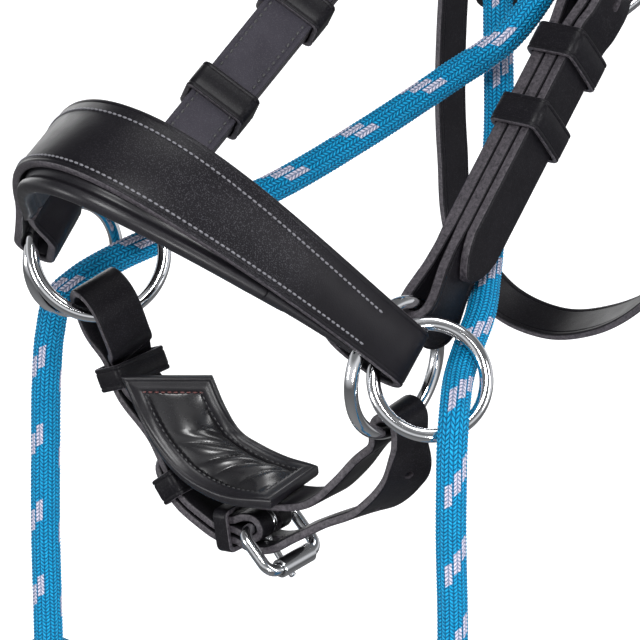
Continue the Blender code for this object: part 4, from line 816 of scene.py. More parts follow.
near_fold = [from_head(p) for p in reversed(nose_end_loop(1))]
far_fold = [from_head(p) for p in nose_end_loop(-1)]
nose_path, nose_across, nose_widths, nose_shares = nose_line(180)
down_end = head_dir(0.0, 0.0, -1.0)
path = near_fold + nose_path + far_fold
across = [down_end] * len(near_fold) + nose_across + [down_end] * len(far_fold)
widths = [NOSE_END_W] * len(near_fold) + nose_widths + [NOSE_END_W] * len(far_fold)
path, across, widths = evened(path, across, widths, 1.4, 3)
item = make_strap("noseband_leather", path, across, widths, NOSE_T, nose_leather_finish, 1.1, 1.9)
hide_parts("noseband")
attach(item, "bridle")
nose_frames = strap_frames(nose_path, nose_across, head(0.0, 30.0, 0.0))
rows = [[], []]
for p, width, (side, out) in zip(nose_path, nose_widths, nose_frames):
    if abs(p.x) > NOSE_SPREAD / 2 - 9.0:
        continue
    for row, sign, inset in zip(rows, (1, -1), (3.1, 6.0)):
        row.append(p + sign * (width / 2 - inset) * side + (NOSE_T / 2 + 0.12) * out)
sew("noseband_stitches", rows, glint_grey_thread, pitch=2.3, length=1.9, thread=0.42)


# Noseband lining
#
# Soft black leather turned over foam, with a rolled border along both edges and a quilted groove
# beside each roll. It is sewn behind the outer leather and shows below it and above it.
LINING_T, LINING_GAP, LINING_REACH = 7.0, 0.8, 66.0
lining_leather = leather_material("lining_leather", 1.15, 0.30, 0.55, 0.15, 0.40)


def lining_section(width, thick):
    """Round rolls along both edges, a flat back against the leather, a soft crown inside."""
    w, t, roll = width / 2, thick / 2, 3.1
    keys = [(-w + 0.2, -t + 1.6), (-w + 1.4, -t + 0.2), (-w + roll, -t + 0.05), (-w + 1.35 * roll, -t + 0.9),
            (-w + 1.7 * roll, -t), (0.0, -t), (w - 2.3 * roll, -t + 0.05), (w - 1.7 * roll, -t + 1.1),
            (w - roll, -t + 0.2), (w - 0.9, -t + 0.9), (w, 0.0), (w - 1.0, t - 1.4),
            (w - 1.35 * roll, t - 0.75),
            (w - 1.7 * roll, t - 1.25), (w - 2.2 * roll, t - 0.35), (w * 0.25, t), (-w * 0.25, t),
            (-w + 2.2 * roll, t - 0.35), (-w + 1.7 * roll, t - 1.25), (-w + 1.3 * roll, t - 0.7),
            (-w + 1.2, t - 1.2),
            (-w, 0.0)]
    places = [Vector((a, b, 0.0)) for a, b in keys]
    places = places[-2:] + places + places[:3]
    apart = [(q - p).length for p, q in zip(places[:-1], places[1:])]
    smooth = hermite(places, apart, [3] * len(apart))
    return [(p.x, p.y) for p in smooth[6:6 + 3 * len(keys)]]


stations = [0.965 * NOSE_SPREAD / 2 * math.cos(math.pi * i / 180) for i in range(181)]
inside = [i for i, x in enumerate(stations) if abs(x) < LINING_REACH]
rings = []
for i in inside:
    side, inward = nose_frames[i][0], -nose_frames[i][1]
    end = min(i - inside[0], inside[-1] - i) / 8.0
    thick = LINING_T * min(1.0, 0.5 + 0.5 * math.sqrt(min(end, 1.0)))
    share = nose_shares[i]
    width = NOSE_END_W + (NOSE_MID_W + PAD_BELOW + PAD_ABOVE - NOSE_END_W) * share ** 0.8
    depth = NOSE_T / 2 + LINING_GAP + thick / 2
    centre = nose_path[i] - (PAD_ABOVE - PAD_BELOW) / 2 * share * side + depth * inward
    rings.append([centre + a * side + b * inward for a, b in lining_section(width, thick)])
item = solid_of("noseband_padding", rings, [lining_leather], sharp=75)
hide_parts("noseband_lining")
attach(item, "bridle")
path, radii = [], []
for i, x in enumerate(stations):
    if LINING_REACH - 6.0 < x < 79.0:
        side, inward = nose_frames[i][0], -nose_frames[i][1]
        width = NOSE_END_W + (NOSE_MID_W - NOSE_END_W) * nose_shares[i]
        low = 1.0 if side.z < 0.0 else -1.0
        f = min((x - LINING_REACH + 6.0) / 19.0, 1.0)
        path.append(nose_path[i] + low * (width / 2 + 0.9 - 1.6 * f) * side + (NOSE_T / 2 + 2.4) * inward)
        radii.append(2.5 - 1.1 * f)
roll = solid_of("lining_end_roll", tube_rings(path, radii, 20), [lining_leather], sharp=60)
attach(roll, "bridle")


# Cheekpieces
#
# Each is one doubled strap: it is folded round its ring and round the bar of its buckle, and the two
# layers are sewn together along their edges. The cut edges show as a pair of grey-brown lines.
CHEEK_T, CHEEK_W, RING_SLACK, BAR_R, FIT, PRONG_R = 4.2, 20.0, 0.75, 2.2, 0.35, 1.3
NEAR_REACH, FAR_SHORT, KEEPER_BELOW, RUNNER_BELOW, BILLET_TIP = 133.5, 12.0, 22.0, (31.0, 48.0), 19.0
LAYER = 0.6 + CHEEK_T / 2
RING_SAG = CHIN_RING_R - math.sqrt(CHIN_RING_R ** 2 - (CHEEK_W / 2) ** 2)
RING_LEG = WIRE_R + RING_SLACK + CHEEK_T / 2
BAR_LEG = BAR_R + FIT + CHEEK_T / 2
BILLET_OUT = LAYER + CHEEK_T + 0.5
BILLET_OVER = BAR_LEG + CHEEK_T + FIT


class Cheek:
    """A doubled cheekpiece from its ring wire to its buckle bar, as a straight line."""

    def __init__(self, sign, ring_at, ring_dir, along, across, reach, runner_below):
        self.reach, self.keeper_at = reach, reach - KEEPER_BELOW
        self.runner_at = self.keeper_at - runner_below
        self.wire = ring_at.wire(ring_dir)
        self.along = along.normalized()
        self.across = square_to(across, self.along)
        out = self.along.cross(self.across)
        self.out = -out if out.dot(SIDE) * sign < 0.0 else out

    def at(self, s, n=0.0, a=0.0):
        return self.wire + s * self.along + n * self.out + a * self.across


NEAR = Cheek(1, CHIN_NEAR, head_dir(0.0, -0.105, 0.995), head_dir(-0.105, -0.105, 1.0),
             head_dir(0.0, 1.0, 0.1), NEAR_REACH, RUNNER_BELOW[0])
FAR = Cheek(-1, CHIN_FAR, head_dir(0.125, -0.093, 0.988), head_dir(0.025, -0.222, 0.974),
            head_dir(-0.798, 0.563, 0.149), NEAR_REACH - FAR_SHORT, RUNNER_BELOW[1])


leather_back = leather_material("leather_back", 4.2, 0.55, 1.2, 0.3)


def half_turn(radius, centre, steps, top):
    sign = 1.0 if top else -1.0
    return [(centre + sign * radius * math.sin(math.pi * k / steps), radius * math.cos(math.pi * k / steps))
            for k in range(steps + 1)]


def slot_mesh(centre, along, across, out, length, width, depth):
    """A round-ended slot's shape: length along the strap, width across it."""
    half = max(length / 2 - width / 2, 0.0)
    outline = []
    for k in range(32):
        turn = 2 * math.pi * (k + 0.5) / 32
        shift = half if math.cos(turn) > 0 else -half
        outline.append((shift + width / 2 * math.cos(turn), width / 2 * math.sin(turn)))
    return [[centre + a * along + b * across + side * depth * out for a, b in outline]
            for side in (-0.5, 0.5)]


def keep_shape(item):
    """Keep the shape that an object's modifiers give, and drop them."""
    graph = bpy.context.evaluated_depsgraph_get()
    done = bpy.data.meshes.new_from_object(item.evaluated_get(graph))
    item.modifiers.clear()
    item.data = done


def punch(item, holes):
    """Cut holes out of a strap, and keep the shading of the leather round them even."""
    for rings in holes:
        tool = solid_of(item.name + "_punch", rings, [leather_edge])
        step = item.modifiers.new("punch", "BOOLEAN")
        step.operation, step.solver, step.object = "DIFFERENCE", "EXACT", tool
        keep_shape(item)
        bpy.data.objects.remove(tool, do_unlink=True)
    item.data.set_sharp_from_angle(angle=math.radians(50))
    step = item.modifiers.new("even", "WEIGHTED_NORMAL")
    step.keep_sharp = True
    keep_shape(item)


def cheek_places(cheek):
    low = half_turn(RING_LEG, -RING_SAG, 18, False)
    high = half_turn(BAR_LEG, cheek.reach, 18, True)
    inner_up = [(low[-1][0] + 4.0, -RING_LEG), (14.0, -LAYER - 0.5), (22.0, -LAYER), (60.0, -LAYER),
                (cheek.keeper_at - 0.1, -LAYER)]
    inner_down = [(cheek.reach - 5.0, -BAR_LEG + 0.5), (cheek.reach - 14.0, -LAYER),
                  (cheek.keeper_at + 0.1, -LAYER)]
    outer = [(cheek.reach - 5.0, BAR_LEG - 0.5), (cheek.reach - 14.0, LAYER), (70.0, LAYER), (22.0, LAYER),
             (14.0, LAYER + 0.5), (4.0 - RING_SAG, RING_LEG)]
    points = list(reversed(inner_down)) + list(reversed(high)) + outer + low + inner_up
    return [cheek.at(s, n) for s, n in points]


for cheek, name in ((NEAR, "near"), (FAR, "far")):
    path = cheek_places(cheek)
    path, across, widths = evened(path, [cheek.across] * len(path), [CHEEK_W] * len(path), 1.3, 2)
    depths = []
    for p in path:
        s = (p - cheek.wire).dot(cheek.along)
        depths.append(CHEEK_T + 0.95 * min(max(min(s - 24.0, cheek.reach - 15.0 - s) / 8.0, 0.0), 1.0))
    item = make_strap("cheekpiece_" + name, path, across, CHEEK_W, depths, None, 0.45, 1.9)
    item.data.materials.append(leather_back)
    for face in item.data.polygons:
        depth = (Vector(face.center) / MM - cheek.wire).dot(cheek.out)
        if depth < -LAYER - CHEEK_T / 2 - 0.05 and face.material_index == 0:
            face.material_index = 2
    punch(item, [slot_mesh(cheek.at(cheek.reach + 1.5), cheek.along, cheek.across, cheek.out, 15.0,
                           2 * PRONG_R + 2.0, 2 * (BAR_LEG + CHEEK_T))])
    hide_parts("cheek_strap_" + name)
    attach(item, "bridle")
    lines = []
    for a in (-CHEEK_W / 2 + 2.6, CHEEK_W / 2 - 2.6):
        for n in (LAYER + CHEEK_T / 2 + 0.45, -LAYER - CHEEK_T / 2 - 0.45):
            lines.append([cheek.at(s, n, a) for s in (30.0, 60.0, 80.0, cheek.reach - 24.0)])
    sew("cheek_stitches_" + name, lines, black_thread, pitch=3.0, length=1.9, thread=0.5)


# Keepers and runners
#
# Narrow bands of the same leather, butted and sewn into loops, with a pressed crease along each edge.
# The fixed keeper sits below the buckle, and the runner slides to hold the billet's end.
KEEPER_T, KEEPER_L, KEEPER_SLACK = 2.2, 12.0, 0.6


def loop_places(half_a, half_b, corner, steps=8):
    """A rounded rectangle as (a, b) pairs, going once round, with places along its sides too."""
    out = []
    for quarter in range(4):
        sa, sb = (1, -1, -1, 1)[quarter], (1, 1, -1, -1)[quarter]
        for k in range(steps + 1):
            turn = math.pi / 2 * (quarter + k / steps)
            out.append((sa * (half_a - corner) + corner * math.cos(turn),
                        sb * (half_b - corner) + corner * math.sin(turn)))
    closed = out + out[:1]
    fine = []
    for p, q in zip(closed[:-1], closed[1:]):
        count = max(int(math.dist(p, q) / 1.3), 1)
        fine += [(p[0] + (q[0] - p[0]) * k / count, p[1] + (q[1] - p[1]) * k / count) for k in range(count)]
    return fine


def make_keeper(node, centre, along, across, out, stack_w, low, high, length=KEEPER_L, thick=KEEPER_T,
                slack=KEEPER_SLACK, body="bridle"):
    half_w = stack_w / 2 + slack + thick / 2
    half_t = (high - low) / 2 + slack + thick / 2
    middle = centre + (high + low) / 2 * out
    path = []
    for a, b in loop_places(half_w, half_t, thick / 2 + 0.9):
        full = 0.35 * max(1.0 - (a / half_w) ** 2, 0.0) if b > 0.0 else 0.0
        path.append(middle + a * across + (b + full) * out)
    item = make_strap(node + "_loop", path, along, length, thick, None, 0.8, 1.7, True)
    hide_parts(node)
    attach(item, body)


for cheek, name in ((NEAR, "near"), (FAR, "far")):
    low, high = -LAYER - CHEEK_T / 2, BILLET_OUT + CHEEK_T / 2
    ways = (cheek.along, cheek.across, cheek.out)
    make_keeper("cheek_keeper_" + name, cheek.at(cheek.keeper_at), *ways, CHEEK_W, low, high)
    make_keeper("cheek_runner_" + name, cheek.at(cheek.runner_at), *ways, CHEEK_W, low, high,
                body="cheek_runner_" + name)


# Crownpiece
#
# One long strap over the poll. It is broad and flat on top, narrows at the sides, and ends in pointed
# billets with punched holes that come down through the cheek buckles.
CROWN_MID_W = 34.0
BILLET_POINT = [(0.0, 0.12), (0.6, 0.25), (2.5, 0.44), (5.5, 0.67), (9.5, 0.87), (14.0, 1.0)]


def turned_along(points, sides, widths=None, step=1.4):
    """A smooth path, its width directions, and widths that change evenly between the keys."""
    points, sides = [Vector(p) for p in points], [Vector(v) for v in sides]
    apart = [max((q - p).length, 1e-6) for p, q in zip(points[:-1], points[1:])]
    counts = [max(2, math.ceil(d / step)) for d in apart]
    path = hermite(points, apart, counts)
    across = [v.normalized() for v in hermite(sides, apart, counts)]
    wide = []
    for a, b, n in zip((widths or [1.0] * len(points))[:-1], (widths or [1.0] * len(points))[1:], counts):
        wide += [a + (b - a) * k / n for k in range(n)]
    wide.append(widths[-1] if widths else 1.0)
    return path, across, wide


def billet_places(cheek):
    """The crownpiece's end, from its tip up over the cheekpiece and through the buckle."""
    keys = [(BILLET_TIP - 3.5 + d, BILLET_OUT) for d, _ in BILLET_POINT]
    keys += [(60.0, BILLET_OUT), (cheek.keeper_at, BILLET_OUT), (cheek.keeper_at + 7.0, BILLET_OUT),
            (cheek.reach - 12.0, BILLET_OUT + 0.2), (cheek.reach - 7.0, BILLET_OVER - 0.4),
            (cheek.reach - 2.0, BILLET_OVER), (cheek.reach + 4.0, BILLET_OVER),
            (cheek.reach + 11.0, BILLET_OVER - 1.6), (cheek.reach + 19.0, BILLET_OUT - 1.2),
            (cheek.reach + 30.0, BILLET_OUT - 1.8)]
    return [cheek.at(s, n) for s, n in keys]


near, far = billet_places(NEAR), billet_places(FAR)
flat = [Vector((x, 0.0, CHEEK_T / 2)) for x in (22.0, 11.0, -11.0, -22.0)]


def crown_side(sign):
    return [head(sign * 63.0, -34.5, 205.0), head(sign * 61.0, -35.5, 245.0), head(sign * 57.0, -37.0, 288.0),
            head(sign * 43.0, -36.5, 315.0)]


keys = near + crown_side(1) + flat + list(reversed(crown_side(-1))) + list(reversed(far))
d_way, forward = head_dir(0.0, 1.0, 0.0), Vector((0.0, -1.0, 0.0))
between = d_way.lerp(forward, 0.6).normalized()
near_side = [d_way, d_way, d_way.lerp(forward, 0.15).normalized(), between]
far_side = [FAR.across.lerp(d_way, 0.65).normalized(), d_way, near_side[2], between]
keys_across = ([NEAR.across] * len(near) + near_side + [forward] * 4 + list(reversed(far_side))
               + [FAR.across] * len(far))
billet_w = [CHEEK_W * w for d, w in BILLET_POINT] + [CHEEK_W] * (len(near) - len(BILLET_POINT))
side_w = [CHEEK_W, CHEEK_W + 1.0, 30.0, CROWN_MID_W - 1.0]
keys_w = billet_w + side_w + [CROWN_MID_W] * 4 + list(reversed(side_w)) + list(reversed(billet_w))
path, across, widths = turned_along(keys, keys_across, keys_w)
for i, p in enumerate(path):
    if abs(p.x) <= 22.0 and p.z > -30.0:
        path[i] = Vector((p.x, 0.0, CHEEK_T / 2))
        across[i] = forward
item = make_strap("crown_strap", path, across, widths, CHEEK_T, None, 1.0, 0.0)
holes = []
for cheek in (NEAR, FAR):
    holes.append(slot_mesh(cheek.at(cheek.reach + 7.5, BILLET_OVER - 1.0), cheek.along, cheek.across,
                           cheek.out,
                           15.0, 2 * PRONG_R + 1.6, 3.4 * CHEEK_T))
    for s in (cheek.keeper_at, cheek.runner_at):
        holes.append(slot_mesh(cheek.at(s, BILLET_OUT), cheek.along, cheek.across, cheek.out, 3.6, 3.6,
                               2.2 * CHEEK_T))
punch(item, holes)
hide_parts("crownpiece")
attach(item, "bridle")
rows = [[], []]
for p, width, (side, out) in zip(path, widths, strap_frames(path, across, Vector((0.0, 0.0, -60.0)))):
    if p.z < -70.0:
        continue
    for row, sign in zip(rows, (1, -1)):
        row.append(p + sign * (width / 2 - 2.8) * side + (CHEEK_T / 2 + 0.1) * out)
sew("crown_stitches", rows, black_thread, pitch=3.4, length=2.7, thread=0.42)


# Browband
#
# A plain band across the forehead. Each end is turned back round the crownpiece and sewn down.
STRAP_T, BROW_W = 4.0, 18.0
level, mid_d = 236.0, -35.2
out_x = 63.0 + CHEEK_T / 2 + 1.2 + STRAP_T / 2
in_x = 60.5 - CHEEK_T / 2 - 1.2 - STRAP_T / 2
loop_back = mid_d - CHEEK_W / 2 - 3.5 - STRAP_T / 2
loop_front = mid_d + CHEEK_W / 2 + 2.0 + STRAP_T / 2
bend, x_mid = (out_x - in_x) / 2, (out_x + in_x) / 2


def brow_end(sign):
    keys = [(in_x + 4.3, loop_front + 12.0), (in_x + 3.4, loop_front + 5.0), (in_x, mid_d + 5.0)]
    keys += [(x_mid - bend * math.cos(math.pi * k / 4), loop_back + bend * (1 - math.sin(math.pi * k / 4)))
             for k in range(5)]
    keys += [(out_x, mid_d + 3.0), (out_x - 0.6, loop_front + 6.0), (out_x - 1.5, loop_front + 18.0)]
    return [head(sign * x, d, level) for x, d in keys]


arch = [head(sign * x, d, level + rise) for sign, x, d, rise in
        ((1, 56.0, 18.0, 3.0), (1, 38.0, 43.0, 6.0), (1, 0.0, 57.0, 8.0), (-1, 38.0, 43.0, 6.0),
         (-1, 56.0, 18.0, 3.0))]
path = smooth_line(brow_end(1) + arch + list(reversed(brow_end(-1))), 1.4)
item = make_strap("brow_strap", path, FACE_UP, BROW_W, STRAP_T, None, 1.0, 2.2)
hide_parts("browband")
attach(item, "bridle")
brow_frames = strap_frames(path, [FACE_UP] * len(path), head(0.0, -60.0, level))
rows = [[], []]
for i, p in enumerate(path):
    if not 12 < i < len(path) - 12 or p.y > head(0.0, -14.0, level).y:
        continue
    for row, sign in zip(rows, (1, -1)):
        row.append(p + sign * (BROW_W / 2 - 2.6) * FACE_UP + (STRAP_T / 2 + 0.1) * brow_frames[i][1])
sew("brow_stitches", rows, black_thread, pitch=3.4, length=2.7, thread=0.42)


# Throatlatch
#
# A thin strap from the crownpiece's far side that hangs in a loop under the jaw. It buckles on the near
# side, where a billet comes down to it through a keeper.
THROAT_T, THROAT_W = 3.0, 16.0
throat_way, throat_across = Vector((0.06, 0.0, 0.998)).normalized(), Vector((0.0, 1.0, 0.0))
throat_out = Vector((0.998, 0.0, -0.06)).normalized()
throat_leg = BAR_R + FIT + THROAT_T / 2
throat_layer = 0.4 + THROAT_T / 2
throat_bar = hung(70.0, 214.0, 74.0)
throat_over, throat_lying = throat_leg + THROAT_T + FIT, throat_layer + THROAT_T + 0.5


def throat_at(s, n):
    return throat_bar + s * throat_way + n * throat_out


def straight(centre, way, reach):
    """Two places in a line, just beyond the ends of a keeper, for a strap to pass through."""
    return [centre - (reach + 1.0) * way, centre + (reach + 1.0) * way]


keys = [head(-47.3, -44.0, 298.0), head(-53.2, -44.5, 286.0), head(-55.0, -55.0, 262.0),
        hung(-64.0, 216.0, 80.0), hung(-67.7, 213.0, 26.0), hung(-67.5, 213.0, -36.0),
        hung(-62.0, 213.0, -72.0), hung(-42.7, 213.0, -92.0), hung(-17.1, 213.0, -95.0),
        hung(8.0, 213.0, -86.0), hung(32.0, 213.0, -68.0), hung(54.0, 213.0, -36.0),
        hung(66.0, 214.0, 10.0), throat_at(-32.0, throat_layer)]
keys += straight(throat_at(-19.0, throat_layer), throat_way, 5.0) + [throat_at(-5.0, throat_leg - 0.5)]
turned = Vector((0.0, 0.93, 0.37))
keys_across = [head_dir(0.0, -1.0, 0.1), head_dir(0.0, -1.0, 0.15), head_dir(0.0, -1.0, 0.45), throat_across,
               throat_across, throat_across, throat_across, turned, turned, turned,
               throat_across.lerp(turned, 0.6)]
keys_across += [throat_across] * (len(keys) - len(keys_across))
path, across, widths = turned_along(keys, keys_across)
fold = [throat_at(s, n) for s, n in half_turn(throat_leg, 0.0, 14, True)]
tail = [throat_at(s, n) for s,
        n in ((-5.0, 0.4 - throat_leg), (-14.0, -throat_layer), (-30.0, -throat_layer))]
path, across = path + fold + tail, across + [throat_across] * (len(fold) + len(tail))
path, across, widths = evened(path, across, [THROAT_W] * len(path), 1.4, 2)
item = make_strap("throat_strap", path, across, THROAT_W, THROAT_T, None, 0.8, 1.9)
punch(item, [slot_mesh(throat_bar + 1.5 * throat_way, throat_way, throat_across, throat_out, 13.0,
                       2 * PRONG_R + 2.0, 2 * (throat_leg + THROAT_T))])
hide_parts("throatlatch")
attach(item, "bridle")
billet = [throat_at(-36.0, throat_lying), throat_at(-33.0, throat_lying), throat_at(-29.5, throat_lying)]
billet += straight(throat_at(-19.0, throat_lying), throat_way, 5.0)
billet += [throat_at(-7.0, throat_over - 0.4), throat_at(-2.0, throat_over), throat_at(3.0, throat_over),
           throat_at(9.0, throat_over - 1.6), throat_at(16.0, throat_lying - 1.2),
           throat_at(27.0, throat_lying - 2.4), hung(65.0, 222.0, 118.0), head(55.0, -56.0, 262.0),
           head(53.2, -44.5, 286.0), head(47.3, -44.0, 298.0)]
billet_across = [throat_across] * (len(billet) - 4) + [throat_across, head_dir(0.0, -1.0, 0.45),
                                                       head_dir(0.0, -1.0, 0.15), head_dir(0.0, -1.0, 0.1)]
path, across, widths = turned_along(billet, billet_across,
                                    [0.4 * THROAT_W, 0.8 * THROAT_W] + [THROAT_W] * (len(billet) - 2))
item = make_strap("throat_billet_strap", path, across, widths, THROAT_T, None, 0.8, 0.0)
punch(item, [slot_mesh(throat_at(5.5, throat_over - 1.0), throat_way, throat_across, throat_out, 14.0,
                       2 * PRONG_R + 1.6, 3.4 * THROAT_T)])
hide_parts("throat_billet")
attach(item, "bridle")
make_keeper("throat_keeper", throat_at(-19.0, 0.0), throat_way, throat_across, throat_out, THROAT_W,
            -throat_layer - THROAT_T / 2, throat_lying + THROAT_T / 2, 9.0)


# Chin strap
#
# One supple strap. Its sewn end holds the roller buckle. It turns round the far chin ring, runs under
# the pad, turns round the near chin ring, and its punched end comes back through the buckle.
CHIN_T, CHIN_W, ROLLER_R, CHIN_FRAME_L = 3.2, 18.0, 3.5, 17.9
CHIN_TILT = math.radians(52.4)
BACK, NEAR_ACROSS = Vector((0.0, 1.0, 0.0)), Vector((0.0, 0.995, 0.105))
FAR_WIRE = CHIN_FAR.wire(Vector((0.518, -0.295, -0.803)))
FAR_KEEPER = hung(-44.4, 0.2, -45.6)
FAR_KEEPER_WAY = Vector((0.45, -0.02, -0.89)).normalized()
FAR_KEEPER_ACROSS = Vector((0.12, 0.97, -0.05))
FAR_WAY = (FAR_KEEPER - FAR_WIRE).normalized()
FAR_ACROSS = square_to(Vector((0.32, 0.92, 0.1)), FAR_WAY)
FAR_OUT = FAR_ACROSS.cross(FAR_WAY)
FAR_LEG, FAR_SAG = WIRE_R + CHIN_T / 2 + 5.1, 4.2
NEAR_BOTTOM = CHIN_NEAR.wire(Vector((0.0, 0.105, -0.995)))
NEAR_LEG = WIRE_R + CHIN_T / 2 + 1.0
NEAR_SAG = CHIN_RING_R - math.sqrt(CHIN_RING_R ** 2 - (CHIN_W / 2) ** 2)
CHIN_BAR = hung(18.5, 1.0, -87.0)
CHIN_WAY = Vector((0.985, 0.04, 0.16)).normalized()
CHIN_ACROSS = square_to(BACK, CHIN_WAY)
CHIN_OUT = -CHIN_ACROSS.cross(CHIN_WAY)
CHIN_OUT = CHIN_OUT if CHIN_OUT.z < 0.0 else -CHIN_OUT
CHIN_BAR_LEG = BAR_R + FIT + CHIN_T / 2
CHIN_OVER = CHIN_BAR_LEG + CHIN_T + FIT
LAY, TAIL_LIFT = CHIN_T + 0.4, 0.6
MID_KEEPER = hung(-16.6, -0.8, -79.8)
MID_WAY = Vector((-0.66, 0.0, 0.75)).normalized()
MID_OUT = Vector((-MID_WAY.z, 0.0, MID_WAY.x))
OUTER_LOW, OUTER_HIGH = hung(-4.0, -0.3, -88.6), hung(-27.5, -0.3, -66.0)
PAD_W, PAD_ROLL, PAD_LOOP_AT, PAD_STRAP_H = 33.0, 4.3, 37.5, 7.0
PAD_LINE = [((-23.3, -5.0, -40.6), Vector((0.766, 0.643, 0.0))),
            ((-19.0, -3.0, -51.9), Vector((0.766, 0.643, 0.0))),
            ((-12.4, -1.2, -62.0), Vector((0.6, 0.8, 0.014))),
            ((-1.9, 0.0, -68.5), Vector((0.454, 0.874, 0.171))),
            ((10.9, 1.5, -71.3), Vector((0.28, 0.94, 0.18))),
            ((30.2, 3.0, -69.1), Vector((-0.155, 0.992, 0.0)))]
pad_keys = [hung(*p) for p, v in PAD_LINE]
pad_apart = [(q - p).length for p, q in zip(pad_keys[:-1], pad_keys[1:])]
pad_fine = hermite(pad_keys, pad_apart, [8] * len(pad_apart))
pad_sides = hermite([v for p, v in PAD_LINE], pad_apart, [8] * len(pad_apart))
pad_gone = lengths_along(pad_fine)


def pad_frame(s):
    """Middle, width, length and upward directions at a distance from the pad's far end."""
    s = min(max(s, 0.0), pad_gone[-1] - 1e-6)
    i = max(k for k in range(len(pad_gone) - 1) if pad_gone[k] <= s + 1e-9)
    f = (s - pad_gone[i]) / (pad_gone[i + 1] - pad_gone[i])
    way_a = (pad_fine[min(i + 1, len(pad_fine) - 1)] - pad_fine[max(i - 1, 0)]).normalized()
    way_b = (pad_fine[min(i + 2, len(pad_fine) - 1)] - pad_fine[i]).normalized()
    way = way_a.lerp(way_b, f).normalized()
    side = pad_sides[i].lerp(pad_sides[i + 1], f).normalized()
    up = side.cross(way).normalized()
    return pad_fine[i].lerp(pad_fine[i + 1], f), side, way, (up if up.z > 0.0 else -up)


def under_pad(s, depth):
    point, side, way, up = pad_frame(s)
    return point - depth * up, square_to(side, way), way, up


def chin_at(s, n):
    return CHIN_BAR + s * CHIN_WAY + n * CHIN_OUT


def far_fold_at(s, n):
    return FAR_WIRE + s * FAR_WAY + (n + 1.6) * FAR_OUT


def with_side(places, side):
    return [(p, side) for p in places]


keeper_side = square_to(FAR_KEEPER_ACROSS, FAR_KEEPER_WAY)
keeper_out = keeper_side.cross(FAR_KEEPER_WAY)
half = LAY / 2 + 0.6
bend = [chin_at(CHIN_BAR_LEG * math.sin(math.pi * k / 16), -CHIN_BAR_LEG * math.cos(math.pi * k / 16))
        for k in range(17)]
sewn = [chin_at(-16.5, -LAY / 2), chin_at(-8.0, -LAY / 2), chin_at(-4.5, 0.5 - CHIN_BAR_LEG)]
first = [(chin_at(-4.5, CHIN_BAR_LEG - 1.0), CHIN_ACROSS)]
first += with_side(straight(chin_at(-12.0, LAY / 2), -CHIN_WAY, 3.4), CHIN_ACROSS)
first += [(OUTER_LOW, BACK)]
first += with_side(straight(MID_KEEPER, MID_WAY, 5.5), BACK)
first += [(OUTER_HIGH, BACK)]
first += with_side(straight(FAR_KEEPER + half * keeper_out, -FAR_KEEPER_WAY, 4.6), keeper_side)
first += [(far_fold_at(8.0, FAR_LEG), FAR_ACROSS.lerp(keeper_side, 0.3)),
          (far_fold_at(0.0, FAR_LEG), FAR_ACROSS)]
fold = [far_fold_at(-FAR_SAG - FAR_LEG * math.sin(math.pi * k / 20), FAR_LEG * math.cos(math.pi * k / 20))
        for k in range(21)]
second = [(far_fold_at(0.0, -FAR_LEG), FAR_ACROSS),
          (far_fold_at(8.0, -FAR_LEG), FAR_ACROSS.lerp(keeper_side, 0.3))]
second += with_side(straight(FAR_KEEPER - half * keeper_out, FAR_KEEPER_WAY, 4.6), keeper_side)
second += [(hung(-30.3, 2.4, -56.0), Vector((0.22, 0.96, -0.1)))]
point, pad_side, way, up = under_pad(27.0, 6.3)
second += [(point, pad_side)]
point, pad_side, way, up = under_pad(PAD_LOOP_AT, PAD_STRAP_H)
second += with_side(straight(point, way, 3.5), pad_side)
point, pad_side, way, up = under_pad(62.0, 6.5)
second += [(point, pad_side), (hung(43.0, 4.2, -70.5), BACK), (hung(54.0, 6.0, -59.0), BACK),
           (hung(63.0, 8.0, -46.5), NEAR_ACROSS),
           (NEAR_BOTTOM + Vector((-NEAR_LEG, -0.6, -6.0)), NEAR_ACROSS)]
turn = [NEAR_BOTTOM + Vector((-NEAR_LEG * math.cos(math.pi * k / 18), 0.0,
                              NEAR_SAG + NEAR_LEG * math.sin(math.pi * k / 18))) for k in range(19)]
twisted = Vector((0.42, 0.9, 0.08))
third = [(NEAR_BOTTOM + Vector((NEAR_LEG, -0.3, -6.0)), NEAR_ACROSS),
         (NEAR_BOTTOM + Vector((NEAR_LEG, -1.0, -16.0)), twisted), (hung(75.0, 7.4, -58.0), twisted),
         (hung(66.5, 6.5, -67.5), twisted), (hung(49.5, 4.5, -77.6), Vector((0.12, 0.99, 0.0))),
         (hung(36.0, 2.5, -86.6), CHIN_ACROSS), (chin_at(6.5, CHIN_OVER), CHIN_ACROSS),
         (chin_at(-4.0, CHIN_OVER + 0.15), CHIN_ACROSS)]
third += with_side(straight(chin_at(-12.0, 1.5 * LAY + TAIL_LIFT), -CHIN_WAY, 3.4), CHIN_ACROSS)
third += [(OUTER_LOW + (LAY + TAIL_LIFT) * Vector((-0.42, 0.0, -0.9)), BACK)]
third += with_side(straight(MID_KEEPER + (LAY + TAIL_LIFT) * MID_OUT, MID_WAY, 5.5), BACK)
third += [(MID_KEEPER + (LAY + TAIL_LIFT) * MID_OUT + 12.0 * MID_WAY, BACK)]
path, across = list(sewn) + bend, [CHIN_ACROSS] * (len(sewn) + len(bend))
for run, arc, arc_side in ((first, fold, FAR_ACROSS), (second, turn, NEAR_ACROSS), (third, [], None)):
    places, sides, wide = turned_along([p for p, v in run], [v for p, v in run])
    path += places + arc
    across += sides + [arc_side] * len(arc)
path, across, widths = evened(path, across, [CHIN_W] * len(path), 1.3, 2)
for i in range(6):
    widths[-1 - i] = CHIN_W * math.sqrt(1.0 - (1.0 - i / 6 - 0.04) ** 2)
item = make_strap("chin_strap_leather", path, across, widths, CHIN_T, None, 1.0, 0.0)
